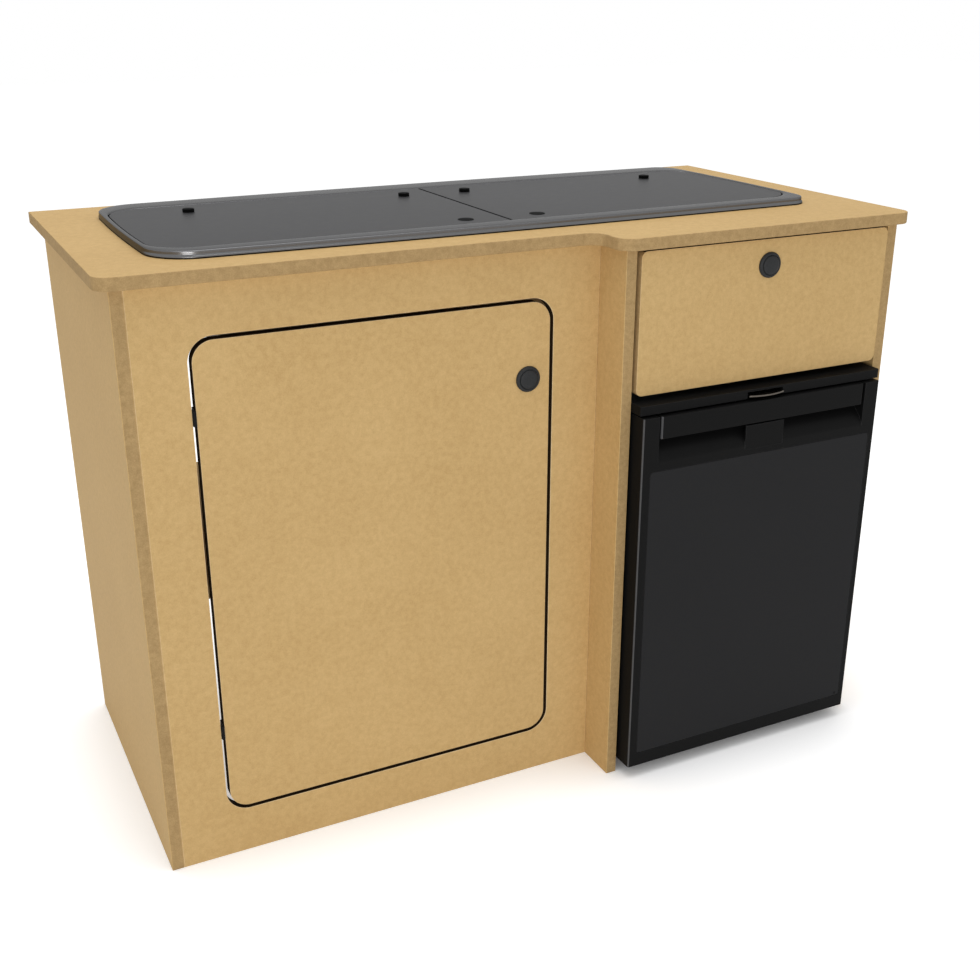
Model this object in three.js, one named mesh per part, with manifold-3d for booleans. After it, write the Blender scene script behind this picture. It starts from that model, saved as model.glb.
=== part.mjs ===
// Campervan kitchen pod: a board cabinet with a cupboard on the left, a drawer over a small
// compressor fridge on the right, and a hob and sink unit with two glass lids in its worktop.
// Millimetres. x runs to the right along the front, y runs to the back and z runs up.
// Pieces are placed from the working corner: the left end panel's outer face, the face of the
// cupboard front and the floor. The last lines move the whole to its own origin.
import * as THREE from 'three';
import { mergeVertices } from 'three/addons/utils/BufferGeometryUtils.js';
import Module from 'manifold-3d';

const wasm = await Module();
wasm.setup();

// Cabinet
const BOARD = 15;
const CUPBOARD_SPAN = 596;
const CASE_DEPTH = 444;
const CASE_HEIGHT = 738;
const BAY_STEP = 60;
const OVERHANG_LEFT = 16.5;
const OVERHANG_RIGHT = 11.5;
const OVERHANG_FRONT = 18.5;
const OVERHANG_BAY = 16.5;
const OVERHANG_STEP = 15;
const WORKTOP_CORNER = 20;
const STEP_CORNER = 20;
const BAY_RAIL_HEIGHT = 100;
const CUPBOARD_RAIL_HEIGHT = 187;
const CLEAT_SIDE = 20;
const CLEAT_FRONT_GAP = 30;
const SHELF_HEIGHT = 354.5;
const SHELF_FRONT_GAP = 1;

// Cupboard door
const OPENING_LEFT = 76;
const OPENING_LOW = 62;
const OPENING_WIDTH = 455;
const OPENING_FROM_TOP = 62;
const OPENING_CORNER = 30;
const DOOR_GAP = 4.6;
const HINGE_FROM_TOP = 87.2;
const HINGE_FROM_BOTTOM = 113;
const HINGE_HEIGHT = 18.5;
const HINGE_LEAF = 0.8;
const HINGE_LEAF_REACH = 26;
const KNUCKLE_RADIUS = 2;
const KNUCKLE_BORE = 1.15;
const KNUCKLE_PROUD = 0.4;
const LEAF_FIT = 0.2;
const HINGE_PIN_RADIUS = 0.85;
const LOCK_FROM_DOOR_EDGE = 30.6;
const LOCK_FROM_DOOR_TOP = 96.7;

// Drawer
const DRAWER_BAND = 186;
const DRAWER_GAP = 4;
const DRAWER_PROUD = 4.3;
const DRAWER_CORNER = 8.5;
const DRAWER_SIDE_BOARD = 12;
const DRAWER_BASE_BOARD = 6;
const DRAWER_BASE_RAISE = 4;
const DRAWER_BOX_RAISE = 24;
const DRAWER_BOX_HEIGHT = 80;
const DRAWER_BOX_DEPTH = 380;
const RUNNER_WIDTH = 13;
const RUNNER_LENGTH = 350;
const RUNNER_HEIGHT = 35;
const RUNNER_RAISE = 22;
const RUNNER_SHEET = 1.2;
const RUNNER_FLANGE = 10;
const RUNNER_FROM_FRONT = 3;
const RUNNER_CLEAR = 0.6;
const LOCK_FROM_DRAWER_TOP = 33;

// Push-button locks
const LOCK_RADIUS = 16.5;
const LOCK_BEVEL = 2.2;
const LOCK_RING_DEPTH = 4;
const LOCK_BUTTON_RADIUS = 12.2;
const LOCK_BUTTON_PROUD = 6;
const LOCK_BUTTON_HEAD = 5.5;
const LOCK_BUTTON_DOME = 1.2;
const LOCK_TRAVEL = 5;
const LOCK_STEM_RADIUS = 4.5;
const LOCK_STEM_LENGTH = 12;
const LOCK_BARREL_RADIUS = 14;
const LOCK_CASE_SIDE = 40;
const LOCK_CASE_DEPTH = 17;
const LOCK_BOLT_WIDTH = 12;
const LOCK_BOLT_THICK = 8;
const LOCK_BOLT_LENGTH = 30;
const LOCK_BOLT_SETBACK = 2.5;
const LOCK_BOLT_REST = 8;
const DRAWER_BOLT_REST = 6;
const LOCK_FIT = 0.4;
const STRIKE_SHEET = 1.5;
const STRIKE_WIDTH = 30;
const STRIKE_DEPTH = 18;
const STRIKE_LIP = 8;
const STRIKE_LIP_GAP = 0.5;

// Clearances
const FIT = 0.3;
const OVERRUN = 2;

// Hob and sink unit
const UNIT_LENGTH = 900;
const UNIT_DEPTH = 370;
const UNIT_LEFT = 54;
const UNIT_FRONT = 30.5;
const UNIT_LEFT_CORNER = 50;
const UNIT_RIGHT_CORNER = 25;
const UNIT_END_BOW = 5;
const UNIT_SIDE_BOW = 7;
const POCKET_LENGTH = 889;
const RIM_FRONT = 29.5;
const RIM_BACK = 46.5;
const POCKET_CORNER = 46;
const POCKET_END_BOW = 5;
const POCKET_SIDE_BOW = 1;
const SEAL_HEIGHT = 1.5;
const SEAL_WIDTH = 3;
const STEEL = 1.2;
const RIM_RISE = 4.5;
const RIM_SHOULDER = 7.6;
const RIM_BROW = 8.3;
const RIM_CREST = 9.2;
const RIM_LIP = 8.6;
const RIM_EDGE = 7.6;
const LEDGE_HEIGHT = 2;
const PAN_MARGIN = 18.5;
const PAN_WIDTH = 357;
const PAN_CORNER = 35;
const PAN_DROP = 22;
const CUTOUT_MARGIN = 8;
const CUTOUT_CORNER = 30;
const DIVIDER_NOTCH_CLEAR = 4;
const BOWL_LEFT = 145;
const BOWL_WIDTH = 240;
const BOWL_FRONT_MARGIN = 14;
const BOWL_BACK_MARGIN = 13;
const BOWL_CORNER = 45;
const BOWL_DROP = 140;

// Glass lids
const GLASS = 5;
const GLASS_RAISE = 1.4;
const GLASS_EDGE_GAP = 1.5;
const SEAM_GAP = 3;
const LID_HINGE_SPREAD = 150;
const LID_KNUCKLE_RADIUS = 2.6;
const LID_KNUCKLE_BORE = 1.5;
const LID_PIN_RADIUS = 1.1;
const LID_KNUCKLE_WIDTH = 16;
const LID_BASE_WIDTH = 9;
const LID_AXIS_BACK = 4.5;
const LID_AXIS_HEIGHT = 5.4;
const LID_LEAF_SHEET = 0.9;
const LID_LEAF_REACH = 22;
const LID_BASE_WEB = 2;
const BUMPER_RADIUS = 7.5;
const BUMPER_HEIGHT = 4.5;
const BUMPER_NEAR_SEAM = 46;
const BUMPER_FROM_END = 101;
const BUMPER_FROM_BACK = 57.5;
const DISC_RADIUS = 10;
const DISC_HEIGHT = 0.6;
const DISC_NEAR_SEAM = 50;
const DISC_FROM_FRONT = 29;
const PAD_RADIUS = 7;

// Sink, tap and hob
const DRAIN_RADIUS = 35;
const DRAIN_FLANGE = 1.6;
const DRAIN_BORE = 22;
const DRAIN_SLEEVE = 26;
const DRAIN_LENGTH = 60;
const TAP_FROM_PAN_RIGHT = 23;
const TAP_FROM_PAN_BACK = 34;
const TAP_BASE_RADIUS = 14;
const TAP_BASE_HEIGHT = 9;
const TAP_FOOT_RADIUS = 8;
const TAP_STUB_RADIUS = 6;
const TAP_SPOUT_RADIUS = 6;
const TAP_SPOUT_REACH = 120;
const TAP_NOZZLE_RADIUS = 5;
const TAP_NOZZLE_DROP = 9;
const TAP_NOZZLE_BORE = 3.5;
const TAP_BEND = 10;
const TAP_VALVE_SPACING = 62;
const TAP_VALVE_RADIUS = 11;
const TAP_VALVE_HEIGHT = 13;
const SHAFT_RADIUS = 3;
const SHAFT_LENGTH = 12;
const TAP_LID_CLEAR = 2.4;
const BURNER_SPACING = 185;
const BURNER_RADIUS = 42;
const BURNER_CROWN_RADIUS = 30;
const BURNER_CAP_RADIUS = 26;
const BURNER_SKIRT = 3;
const BURNER_CROWN = 11;
const BURNER_HEIGHT = 14;
const BURNER_STEM_RADIUS = 12;
const BURNER_STEM_LENGTH = 30;
const SUPPORT_BAR = 4;
const SUPPORT_BAR_HEIGHT = 6;
const SUPPORT_START = 14;
const SUPPORT_RING_RADIUS = 48;
const SUPPORT_FROM_PAN_END = 2;
const SUPPORT_FROM_PAN_BACK = 28;
const SUPPORT_FROM_KNOBS = 15;
const SUPPORT_CLEAR = 4;
const HOB_KNOB_RADIUS = 16;
const HOB_KNOB_HEIGHT = 14;
const HOB_KNOB_FROM_FRONT = 30;
const HOB_KNOB_SPACING = 60;
const HOB_KNOB_GRIP = 5;
const HOB_KNOB_SKIRT = 4;
const BURNER_BOX_FROM_DIVIDER = 6.5;
const BURNER_BOX_INSET = 12;
const BURNER_BOX_DROP = 85;
const BURNER_BOX_SHEET = 1;

// Fridge
const FRIDGE_WIDTH = 380;
const FRIDGE_LEFT_GAP = 3;
const FRIDGE_RIGHT_GAP = 9;
const FRIDGE_DOOR_REACH = 26.3;
const FRIDGE_DOOR_DEPTH = 38.3;
const FRIDGE_DOOR_LOW = 20;
const FRIDGE_DOOR_DROP = 3;
const FRIDGE_SEAL_DEPTH = 4;
const FRIDGE_BELOW_DRAWER = 20;
const FRIDGE_BACK_GAP = 30;
const FRIDGE_WALL = 30;
const FRIDGE_BASE = 40;
const NOTCH_DEPTH = 114;
const NOTCH_HEIGHT = 170;
const NOTCH_SKIN = 10;
const TRIM_HEIGHT = 12;
const TRIM_PROUD = 2;
const TRIM_SETBACK = 5.3;
const TRIM_DEPTH = 100;
const TRIM_EDGE = 2.5;
const LATCH_WIDTH = 55;
const LATCH_RECESS = 57;
const LATCH_RECESS_DEPTH = 15;
const LATCH_RECESS_HEIGHT = 9;
const LATCH_SHEET = 2;
const LATCH_RAISE = 3;
const LATCH_TAIL = 12;
const LATCH_NOSE = 3;
const LATCH_CROWN = 5;
const LATCH_PIN_BITE = 2;
const LATCH_KNUCKLE_RADIUS = 2.2;
const LATCH_PIN_RADIUS = 1;
const DOOR_EDGE = 3;
const RECESS_SIDE = 24;
const RECESS_FROM_TOP = 59.5;
const RECESS_DEPTH = 24;
const BAR_HEIGHT = 30;
const BAR_SIDE = 27;
const BAR_THICK = 13;
const BAR_FOOT_WIDTH = 22;
const BADGE_WIDTH = 61;
const BADGE_FROM_TOP = 32;
const PANEL_SIDE = 13.5;
const PANEL_RIGHT_SIDE = 10;
const PANEL_LOW = 20;
const PANEL_FROM_TOP = 73;
const PANEL_CORNER = 5;
const PANEL_THICK = 2;
const PANEL_GAP = 0.5;
const FRIDGE_PIN_FROM_EDGE = 10.5;
const FRIDGE_PIN_FROM_FACE = 14.3;
const FRIDGE_PIN_RADIUS = 2.5;
const FRIDGE_PIN_BITE = 10;
const FRIDGE_BRACKET_WIDTH = 20;
const GASKET_INSET = 14;
const GASKET_WIDTH = 10;
const LINER_SHEET = 2;
const LINER_INSET = 44;
const LOWER_RACK_DEPTH = 52;
const UPPER_RACK_DEPTH = 42;
const RACK_HEIGHT = 60;
const RACK_WALL = 3;
const RACK_INSET = 7;
const LOWER_RACK_LOW = 90;
const WIRE = 4;
const WIRE_COUNT = 11;
const SHELF_RIB = 5;
const SHELF_RIB_REACH = 8;
const FRIDGE_SHELF_SETBACK = 70;
const FRIDGE_SHELF_GAP = 3;
const BASE_SHEET = 2;
const FOOT_RADIUS = 15;
const FOOT_SETBACK = 60;
const FOOT_INSET = 40;
const POT_RADIUS = 45;
const POT_HEIGHT = 105;
const POT_SHOULDER = 18;
const POT_FROM_LEFT = 86;
const POT_FROM_BACK = 57;
const CONDENSER_WIDTH = 120;
const CONDENSER_HEIGHT = 110;
const CONDENSER_DEPTH = 60;
const CONDENSER_CORE = 24;
const CONDENSER_FROM_RIGHT = 74;
const CONDENSER_FROM_BACK = 24;
const FIN_COUNT = 9;
const FIN = 2;

// Materials
const FIBREBOARD = { color: 0xcfae78, roughness: 0.85, metalness: 0 };
const TIMBER = { color: 0xc9a878, roughness: 0.8, metalness: 0 };
const PLYWOOD = { color: 0xd8c29a, roughness: 0.75, metalness: 0 };
const BLACK_PLASTIC = { color: 0x1d1d1f, roughness: 0.45, metalness: 0 };
const GREY_PLASTIC = { color: 0x2b2b2d, roughness: 0.4, metalness: 0 };
const WHITE_PLASTIC = { color: 0xe8e8e6, roughness: 0.5, metalness: 0 };
const RUBBER = { color: 0x0c0c0c, roughness: 0.8, metalness: 0 };
const BLACK_METAL = { color: 0x141414, roughness: 0.4, metalness: 0.6 };
const ZINC = { color: 0xb9bcc0, roughness: 0.4, metalness: 0.9 };
const STAINLESS = { color: 0x9a9c9f, roughness: 0.25, metalness: 1 };
const CHROME = { color: 0xdadcdf, roughness: 0.1, metalness: 1 };
const SMOKED_GLASS = { color: 0x3a3b3c, roughness: 0.08, metalness: 0 };
const ENAMEL = { color: 0x18181a, roughness: 0.3, metalness: 0.2 };

const QUARTER = Math.PI / 2;
const ROUND = 24;
const CORNER_STEPS = 3;
const OUTLINE_STEPS = 6;
const SIDE_STEPS = 4;
const WELD = 1e-4;

// Places worked out from the sizes above
const leftInner = BOARD;
const dividerLeft = CUPBOARD_SPAN;
const bayLeft = dividerLeft + BOARD;
const bayRight = bayLeft + FRIDGE_LEFT_GAP + FRIDGE_WIDTH + FRIDGE_RIGHT_GAP;
const caseRight = bayRight + BOARD;
const bayMiddle = (bayLeft + bayRight) / 2;
const worktopTop = CASE_HEIGHT + BOARD;
const unitMiddleX = UNIT_LEFT + UNIT_LENGTH / 2;
const unitMiddleY = UNIT_FRONT + UNIT_DEPTH / 2;
const pocketFront = UNIT_FRONT + RIM_FRONT;
const pocketDepth = UNIT_DEPTH - RIM_FRONT - RIM_BACK;
const pocketMiddleY = pocketFront + pocketDepth / 2;
const pocketLeft = unitMiddleX - POCKET_LENGTH / 2;
const pocketRight = unitMiddleX + POCKET_LENGTH / 2;
const pocketBack = pocketFront + pocketDepth;
const drawerFrontLow = CASE_HEIGHT - DRAWER_BAND;
const fridgeHigh = drawerFrontLow - FRIDGE_BELOW_DRAWER;
const fridgeDoorHigh = fridgeHigh - FRIDGE_DOOR_DROP;

// A closed mesh with shared corners, no slivers and its faces turned out
function closed(geometry) {
  const bare = new THREE.BufferGeometry();
  bare.setAttribute('position', geometry.attributes.position);
  bare.setIndex(geometry.index);
  const welded = mergeVertices(bare, WELD);
  const place = welded.attributes.position;
  const corners = [];
  for (let i = 0; i < welded.index.count; i += 3) {
    const [a, b, c] = [0, 1, 2].map((k) => welded.index.getX(i + k));
    if (a !== b && b !== c && c !== a) corners.push(a, b, c);
  }
  const [p, q, r] = [new THREE.Vector3(), new THREE.Vector3(), new THREE.Vector3()];
  let volume = 0;
  for (let i = 0; i < corners.length; i += 3) {
    p.fromBufferAttribute(place, corners[i]);
    q.fromBufferAttribute(place, corners[i + 1]);
    r.fromBufferAttribute(place, corners[i + 2]);
    volume += p.dot(q.cross(r));
  }
  welded.setIndex(volume < 0 ? corners.reverse() : corners);
  return welded;
}

function toSolid(geometry) {
  const mesh = closed(geometry);
  const vertProperties = Float32Array.from(mesh.attributes.position.array);
  const triVerts = Uint32Array.from(mesh.index.array);
  return new wasm.Manifold(new wasm.Mesh({ numProp: 3, vertProperties, triVerts }));
}

function fromSolid(solid) {
  const mesh = solid.getMesh();
  const geometry = new THREE.BufferGeometry();
  geometry.setAttribute('position', new THREE.BufferAttribute(mesh.vertProperties, 3));
  geometry.setIndex(new THREE.BufferAttribute(mesh.triVerts, 1));
  return geometry;
}

function join(...pieces) {
  return fromSolid(pieces.map(toSolid).reduce((whole, piece) => whole.add(piece)));
}

function cut(body, ...tools) {
  return fromSolid(tools.map(toSolid).reduce((rest, tool) => rest.subtract(tool), toSolid(body)));
}

function common(body, tool) {
  return fromSolid(toSolid(body).intersect(toSolid(tool)));
}

function block(x0, x1, y0, y1, z0, z1) {
  const geometry = new THREE.BoxGeometry(x1 - x0, y1 - y0, z1 - z0);
  return geometry.translate((x0 + x1) / 2, (y0 + y1) / 2, (z0 + z1) / 2);
}

// A rounded rectangle as a closed path, each corner an arc of the given number of steps
function roundedPath(Path, u0, u1, v0, v1, radius) {
  const path = new Path();
  path.absarc(u1 - radius, v0 + radius, radius, -QUARTER, 0);
  path.absarc(u1 - radius, v1 - radius, radius, 0, QUARTER);
  path.absarc(u0 + radius, v1 - radius, radius, QUARTER, 2 * QUARTER);
  path.absarc(u0 + radius, v0 + radius, radius, 2 * QUARTER, 3 * QUARTER);
  path.closePath();
  return path;
}

function slab(shape, z0, z1, steps = CORNER_STEPS) {
  const options = { depth: z1 - z0, bevelEnabled: false, curveSegments: steps };
  return new THREE.ExtrudeGeometry(shape, options).translate(0, 0, z0);
}

// The shape stands upright, seen from the front, and fills the space from y0 to y1
function upright(shape, y0, y1, steps = CORNER_STEPS) {
  return slab(shape, 0, y1 - y0, steps).rotateX(QUARTER).translate(0, y1, 0);
}

function polygon(points) {
  return new THREE.Shape(points.map(([u, v]) => new THREE.Vector2(u, v)));
}

// A turned piece: radius and height pairs from the axis round to the axis, standing on z
function turned(profile, sides = ROUND) {
  const points = profile.map(([radius, height]) => new THREE.Vector2(radius, height));
  return new THREE.LatheGeometry(points, sides).rotateX(QUARTER);
}

// The same, pointing to the front
function turnedFront(profile, sides = ROUND) {
  return turned(profile, sides).rotateX(QUARTER);
}

// The same, pointing to the right
function turnedRight(profile, sides = ROUND) {
  return turned(profile, sides).rotateY(QUARTER);
}

function rod(radius, z0, z1, sides = ROUND) {
  return turned([[0, z0], [radius, z0], [radius, z1], [0, z1]], sides);
}

function rodFront(radius, y0, y1, sides = ROUND) {
  return turnedFront([[0, -y1], [radius, -y1], [radius, -y0], [0, -y0]], sides);
}

function rodRight(radius, x0, x1, sides = ROUND) {
  return turnedRight([[0, x0], [radius, x0], [radius, x1], [0, x1]], sides);
}

function tube(radius, bore, z0, z1, sides = ROUND) {
  return turned([[bore, z0], [radius, z0], [radius, z1], [bore, z1], [bore, z0]], sides);
}

const pod = new THREE.Group();

function group() {
  const made = new THREE.Group();
  pod.add(made);
  return made;
}

function piece(parent, name, geometry, look) {
  const body = closed(geometry);
  body.computeVertexNormals();
  const mesh = new THREE.Mesh(body, new THREE.MeshStandardMaterial(look));
  mesh.name = name;
  parent.add(mesh);
}

// Cupboard door hinges: their line stands in the gap at the door's left edge
const doorLeft = OPENING_LEFT + DOOR_GAP;
const openingRight = OPENING_LEFT + OPENING_WIDTH;
const openingHigh = CASE_HEIGHT - OPENING_FROM_TOP;
const doorRight = openingRight - DOOR_GAP;
const doorLow = OPENING_LOW + DOOR_GAP;
const doorHigh = openingHigh - DOOR_GAP;
const hingeX = OPENING_LEFT + DOOR_GAP / 2;
const hingeY = -KNUCKLE_PROUD;
const hingeCentres = [doorLow + HINGE_FROM_BOTTOM, doorHigh - HINGE_FROM_TOP];
const leafBack = BOARD + HINGE_LEAF;

function alongHinge(radius, z0, z1) {
  return rod(radius, z0, z1, ROUND / 2).translate(hingeX, hingeY, 0);
}

// A third of the hinge's height, counted from the bottom
function knuckleZone(centre, third) {
  const low = centre - HINGE_HEIGHT / 2 + (third * HINGE_HEIGHT) / 3;
  return [low + FIT / 2, low + HINGE_HEIGHT / 3 - FIT / 2];
}

// One leaf: its knuckles on the hinge line, a strip along the edge and a plate on the back
function hingeLeaf(side, centre, own, others) {
  const low = centre - HINGE_HEIGHT / 2;
  const high = centre + HINGE_HEIGHT / 2;
  const outer = hingeX + side * KNUCKLE_RADIUS;
  const inner = outer - side * HINGE_LEAF;
  const far = outer + side * HINGE_LEAF_REACH;
  const outline = [[inner, hingeY], [outer, hingeY], [outer, BOARD], [far, BOARD]];
  outline.push([far, leafBack], [inner, leafBack]);
  const spaces = others.map((third) => {
    const [z0, z1] = knuckleZone(centre, third);
    return alongHinge(KNUCKLE_RADIUS + LEAF_FIT, z0 - FIT, z1 + FIT);
  });
  const rolls = own.map((third) => alongHinge(KNUCKLE_RADIUS, ...knuckleZone(centre, third)));
  const strip = cut(slab(polygon(outline), low, high), ...spaces);
  return join(strip, ...rolls);
}

// The frame's leaf holds the pin, which turns in the bore of the door's leaf
function frameLeaf(centre) {
  const pin = alongHinge(HINGE_PIN_RADIUS, centre - HINGE_HEIGHT / 2, centre + HINGE_HEIGHT / 2);
  return join(hingeLeaf(-1, centre, [0, 2], [1]), pin);
}

function doorLeaf(centre) {
  const reach = HINGE_HEIGHT / 2 + OVERRUN;
  const bore = alongHinge(KNUCKLE_BORE, centre - reach, centre + reach);
  return cut(hingeLeaf(1, centre, [1], [0, 2]), bore);
}

// Push-button locks: drawn round their own middle with the board's face at y zero and the bolt
// to the right, then turned and moved to their board
const buttonBack = LOCK_BUTTON_PROUD - LOCK_BUTTON_HEAD;
const wellFloor = buttonBack - LOCK_TRAVEL - LOCK_FIT;
const stemBore = LOCK_STEM_RADIUS + LOCK_FIT;
const boltFront = BOARD + LOCK_BOLT_SETBACK;
const boltBack = boltFront + LOCK_BOLT_THICK;
const domeRadiusShare = 0.7;
const domeHeightShare = 0.3;

function lockRosette() {
  const well = LOCK_BUTTON_RADIUS + LOCK_FIT;
  const bevelStart = LOCK_RING_DEPTH - LOCK_BEVEL;
  const profile = [[stemBore, -BOARD], [LOCK_BARREL_RADIUS, -BOARD], [LOCK_BARREL_RADIUS, 0]];
  profile.push([LOCK_RADIUS, 0], [LOCK_RADIUS, bevelStart], [LOCK_RADIUS - LOCK_BEVEL, LOCK_RING_DEPTH]);
  profile.push([well, LOCK_RING_DEPTH], [well, wellFloor], [stemBore, wellFloor], [stemBore, -BOARD]);
  return turnedFront(profile, 2 * ROUND);
}

function lockButton() {
  const stemEnd = buttonBack - LOCK_STEM_LENGTH;
  const rimHeight = LOCK_BUTTON_PROUD - LOCK_BUTTON_DOME;
  const crownHeight = LOCK_BUTTON_PROUD - LOCK_BUTTON_DOME * domeHeightShare;
  const profile = [[0, stemEnd], [LOCK_STEM_RADIUS, stemEnd], [LOCK_STEM_RADIUS, buttonBack]];
  profile.push([LOCK_BUTTON_RADIUS, buttonBack], [LOCK_BUTTON_RADIUS, rimHeight]);
  profile.push([LOCK_BUTTON_RADIUS * domeRadiusShare, crownHeight], [0, LOCK_BUTTON_PROUD]);
  return turnedFront(profile);
}

function lockBolt(rest) {
  const tip = LOCK_CASE_SIDE / 2 + rest;
  const half = LOCK_BOLT_WIDTH / 2;
  return block(tip - LOCK_BOLT_LENGTH, tip, boltFront, boltBack, -half, half);
}

function lockCase(rest) {
  const side = LOCK_CASE_SIDE / 2;
  const tail = side + rest - LOCK_BOLT_LENGTH;
  const half = LOCK_BOLT_WIDTH / 2 + LOCK_FIT;
  const channel = [tail - LOCK_FIT, side + OVERRUN, boltFront - LOCK_FIT, boltBack + LOCK_FIT, -half, half];
  const shell = block(-side, side, BOARD, BOARD + LOCK_CASE_DEPTH, -side, side);
  return cut(shell, block(...channel), rodFront(stemBore, BOARD - OVERRUN, boltFront));
}

// The ring and its barrel go through the board and carry the case behind it
function lockBody(rest) {
  return join(lockRosette(), lockCase(rest));
}

function lockHole() {
  return rodFront(LOCK_BARREL_RADIUS + FIT, -OVERRUN, BOARD + OVERRUN);
}

const doorLock = new THREE.Matrix4().makeTranslation(
  doorRight - LOCK_FROM_DOOR_EDGE,
  0,
  doorHigh - LOCK_FROM_DOOR_TOP,
);

// The drawer, between the bay's panels
const bayFront = -BAY_STEP;
const drawerFace = bayFront - DRAWER_PROUD;
const drawerBack = drawerFace + BOARD;
const drawerHigh = CASE_HEIGHT - DRAWER_GAP;
const drawerLockHeight = drawerHigh - LOCK_FROM_DRAWER_TOP;
const drawerLock = new THREE.Matrix4()
  .makeTranslation(bayMiddle, drawerFace, drawerLockHeight)
  .multiply(new THREE.Matrix4().makeRotationY(-QUARTER));

function inDoor(geometry) {
  return geometry.applyMatrix4(doorLock);
}

function inDrawer(geometry) {
  return geometry.applyMatrix4(drawerLock);
}

// Cabinet boards
const cabinet = group();
const leftPanel = block(0, leftInner, 0, CASE_DEPTH, 0, CASE_HEIGHT);
const rightPanel = block(bayRight, caseRight, bayFront, CASE_DEPTH, 0, CASE_HEIGHT);
piece(cabinet, 'left_end_panel', leftPanel, FIBREBOARD);
piece(cabinet, 'right_end_panel', rightPanel, FIBREBOARD);

const opening = [OPENING_LEFT, openingRight, OPENING_LOW, openingHigh, OPENING_CORNER];
const frontBoard = block(leftInner, dividerLeft, 0, BOARD, 0, CASE_HEIGHT);
const openingTool = upright(roundedPath(THREE.Shape, ...opening), -OVERRUN, BOARD + OVERRUN);
piece(cabinet, 'front_panel', cut(frontBoard, openingTool), FIBREBOARD);

// Worktop: its front steps forward in an S before the bay, and it has a cut-out for the unit
const worktopLeft = -OVERHANG_LEFT;
const worktopRight = caseRight + OVERHANG_RIGHT;
const worktopFront = -OVERHANG_FRONT;
const worktopBayFront = bayFront - OVERHANG_BAY;
const stepX = dividerLeft - OVERHANG_STEP;
const leftPan = [pocketLeft + PAN_MARGIN, pocketLeft + PAN_MARGIN + PAN_WIDTH];
const rightPan = [pocketRight - PAN_MARGIN - PAN_WIDTH, pocketRight - PAN_MARGIN];
const panFront = pocketFront + PAN_MARGIN;
const panBack = pocketBack - PAN_MARGIN;
const cutoutGap = STEEL + CUTOUT_MARGIN;
const cutoutFront = panFront - cutoutGap;
const cutoutBack = panBack + cutoutGap;

function worktopShape() {
  const shape = new THREE.Shape();
  const corner = WORKTOP_CORNER;
  shape.absarc(stepX - STEP_CORNER, worktopFront - STEP_CORNER, STEP_CORNER, QUARTER, 0, true);
  shape.absarc(stepX + STEP_CORNER, worktopBayFront + STEP_CORNER, STEP_CORNER, 2 * QUARTER, 3 * QUARTER);
  shape.absarc(worktopRight - corner, worktopBayFront + corner, corner, -QUARTER, 0);
  shape.lineTo(worktopRight, CASE_DEPTH);
  shape.lineTo(worktopLeft, CASE_DEPTH);
  shape.absarc(worktopLeft + corner, worktopFront + corner, corner, 2 * QUARTER, 3 * QUARTER);
  shape.closePath();
  const cutout = [leftPan[0] - cutoutGap, rightPan[1] + cutoutGap, cutoutFront, cutoutBack];
  shape.holes.push(roundedPath(THREE.Path, ...cutout, CUTOUT_CORNER));
  return shape;
}

piece(cabinet, 'worktop', slab(worktopShape(), CASE_HEIGHT, worktopTop), FIBREBOARD);

// The divider has a notch where the unit's right pan crosses it
const notchFloor = worktopTop - PAN_DROP - STEEL - DIVIDER_NOTCH_CLEAR;
const dividerBoard = block(dividerLeft, bayLeft, bayFront, CASE_DEPTH, 0, CASE_HEIGHT);
const notch = [dividerLeft - OVERRUN, bayLeft + OVERRUN, cutoutFront, cutoutBack];
const dividerNotch = block(...notch, notchFloor, CASE_HEIGHT + OVERRUN);
piece(cabinet, 'divider_panel', cut(dividerBoard, dividerNotch), FIBREBOARD);

const shelfTop = SHELF_HEIGHT + BOARD;
const shelf = [leftInner, dividerLeft, BOARD + SHELF_FRONT_GAP, CASE_DEPTH, SHELF_HEIGHT, shelfTop];
piece(cabinet, 'cupboard_shelf', block(...shelf), FIBREBOARD);

const cupboardRailLow = CASE_HEIGHT - CUPBOARD_RAIL_HEIGHT;
const bayRailLow = CASE_HEIGHT - BAY_RAIL_HEIGHT;
const railFront = CASE_DEPTH - BOARD;
const cupboardRail = block(leftInner, dividerLeft, railFront, CASE_DEPTH, cupboardRailLow, CASE_HEIGHT);
const bayRail = block(bayLeft, bayRight, railFront, CASE_DEPTH, bayRailLow, CASE_HEIGHT);
piece(cabinet, 'cupboard_rear_rail', cupboardRail, FIBREBOARD);
piece(cabinet, 'bay_rear_rail', bayRail, FIBREBOARD);

// The shelf lies on a frame of battens along the two panels and the back
const cleatLow = SHELF_HEIGHT - CLEAT_SIDE;
const cleatFront = BOARD + CLEAT_FRONT_GAP;

function shelfFrame() {
  const left = block(leftInner, leftInner + CLEAT_SIDE, cleatFront, CASE_DEPTH, cleatLow, SHELF_HEIGHT);
  const right = block(dividerLeft - CLEAT_SIDE, dividerLeft, cleatFront, CASE_DEPTH, cleatLow, SHELF_HEIGHT);
  const rear = block(leftInner, dividerLeft, CASE_DEPTH - CLEAT_SIDE, CASE_DEPTH, cleatLow, SHELF_HEIGHT);
  return join(left, right, rear);
}

piece(cabinet, 'shelf_frame', shelfFrame(), TIMBER);

// Cupboard door with its hinges and lock
const cupboard = group();
const doorCorner = OPENING_CORNER - DOOR_GAP;
const doorOutline = roundedPath(THREE.Shape, doorLeft, doorRight, doorLow, doorHigh, doorCorner);
const doorBoard = cut(upright(doorOutline, 0, BOARD), inDoor(lockHole()));
piece(cupboard, 'cupboard_door', doorBoard, FIBREBOARD);

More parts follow.
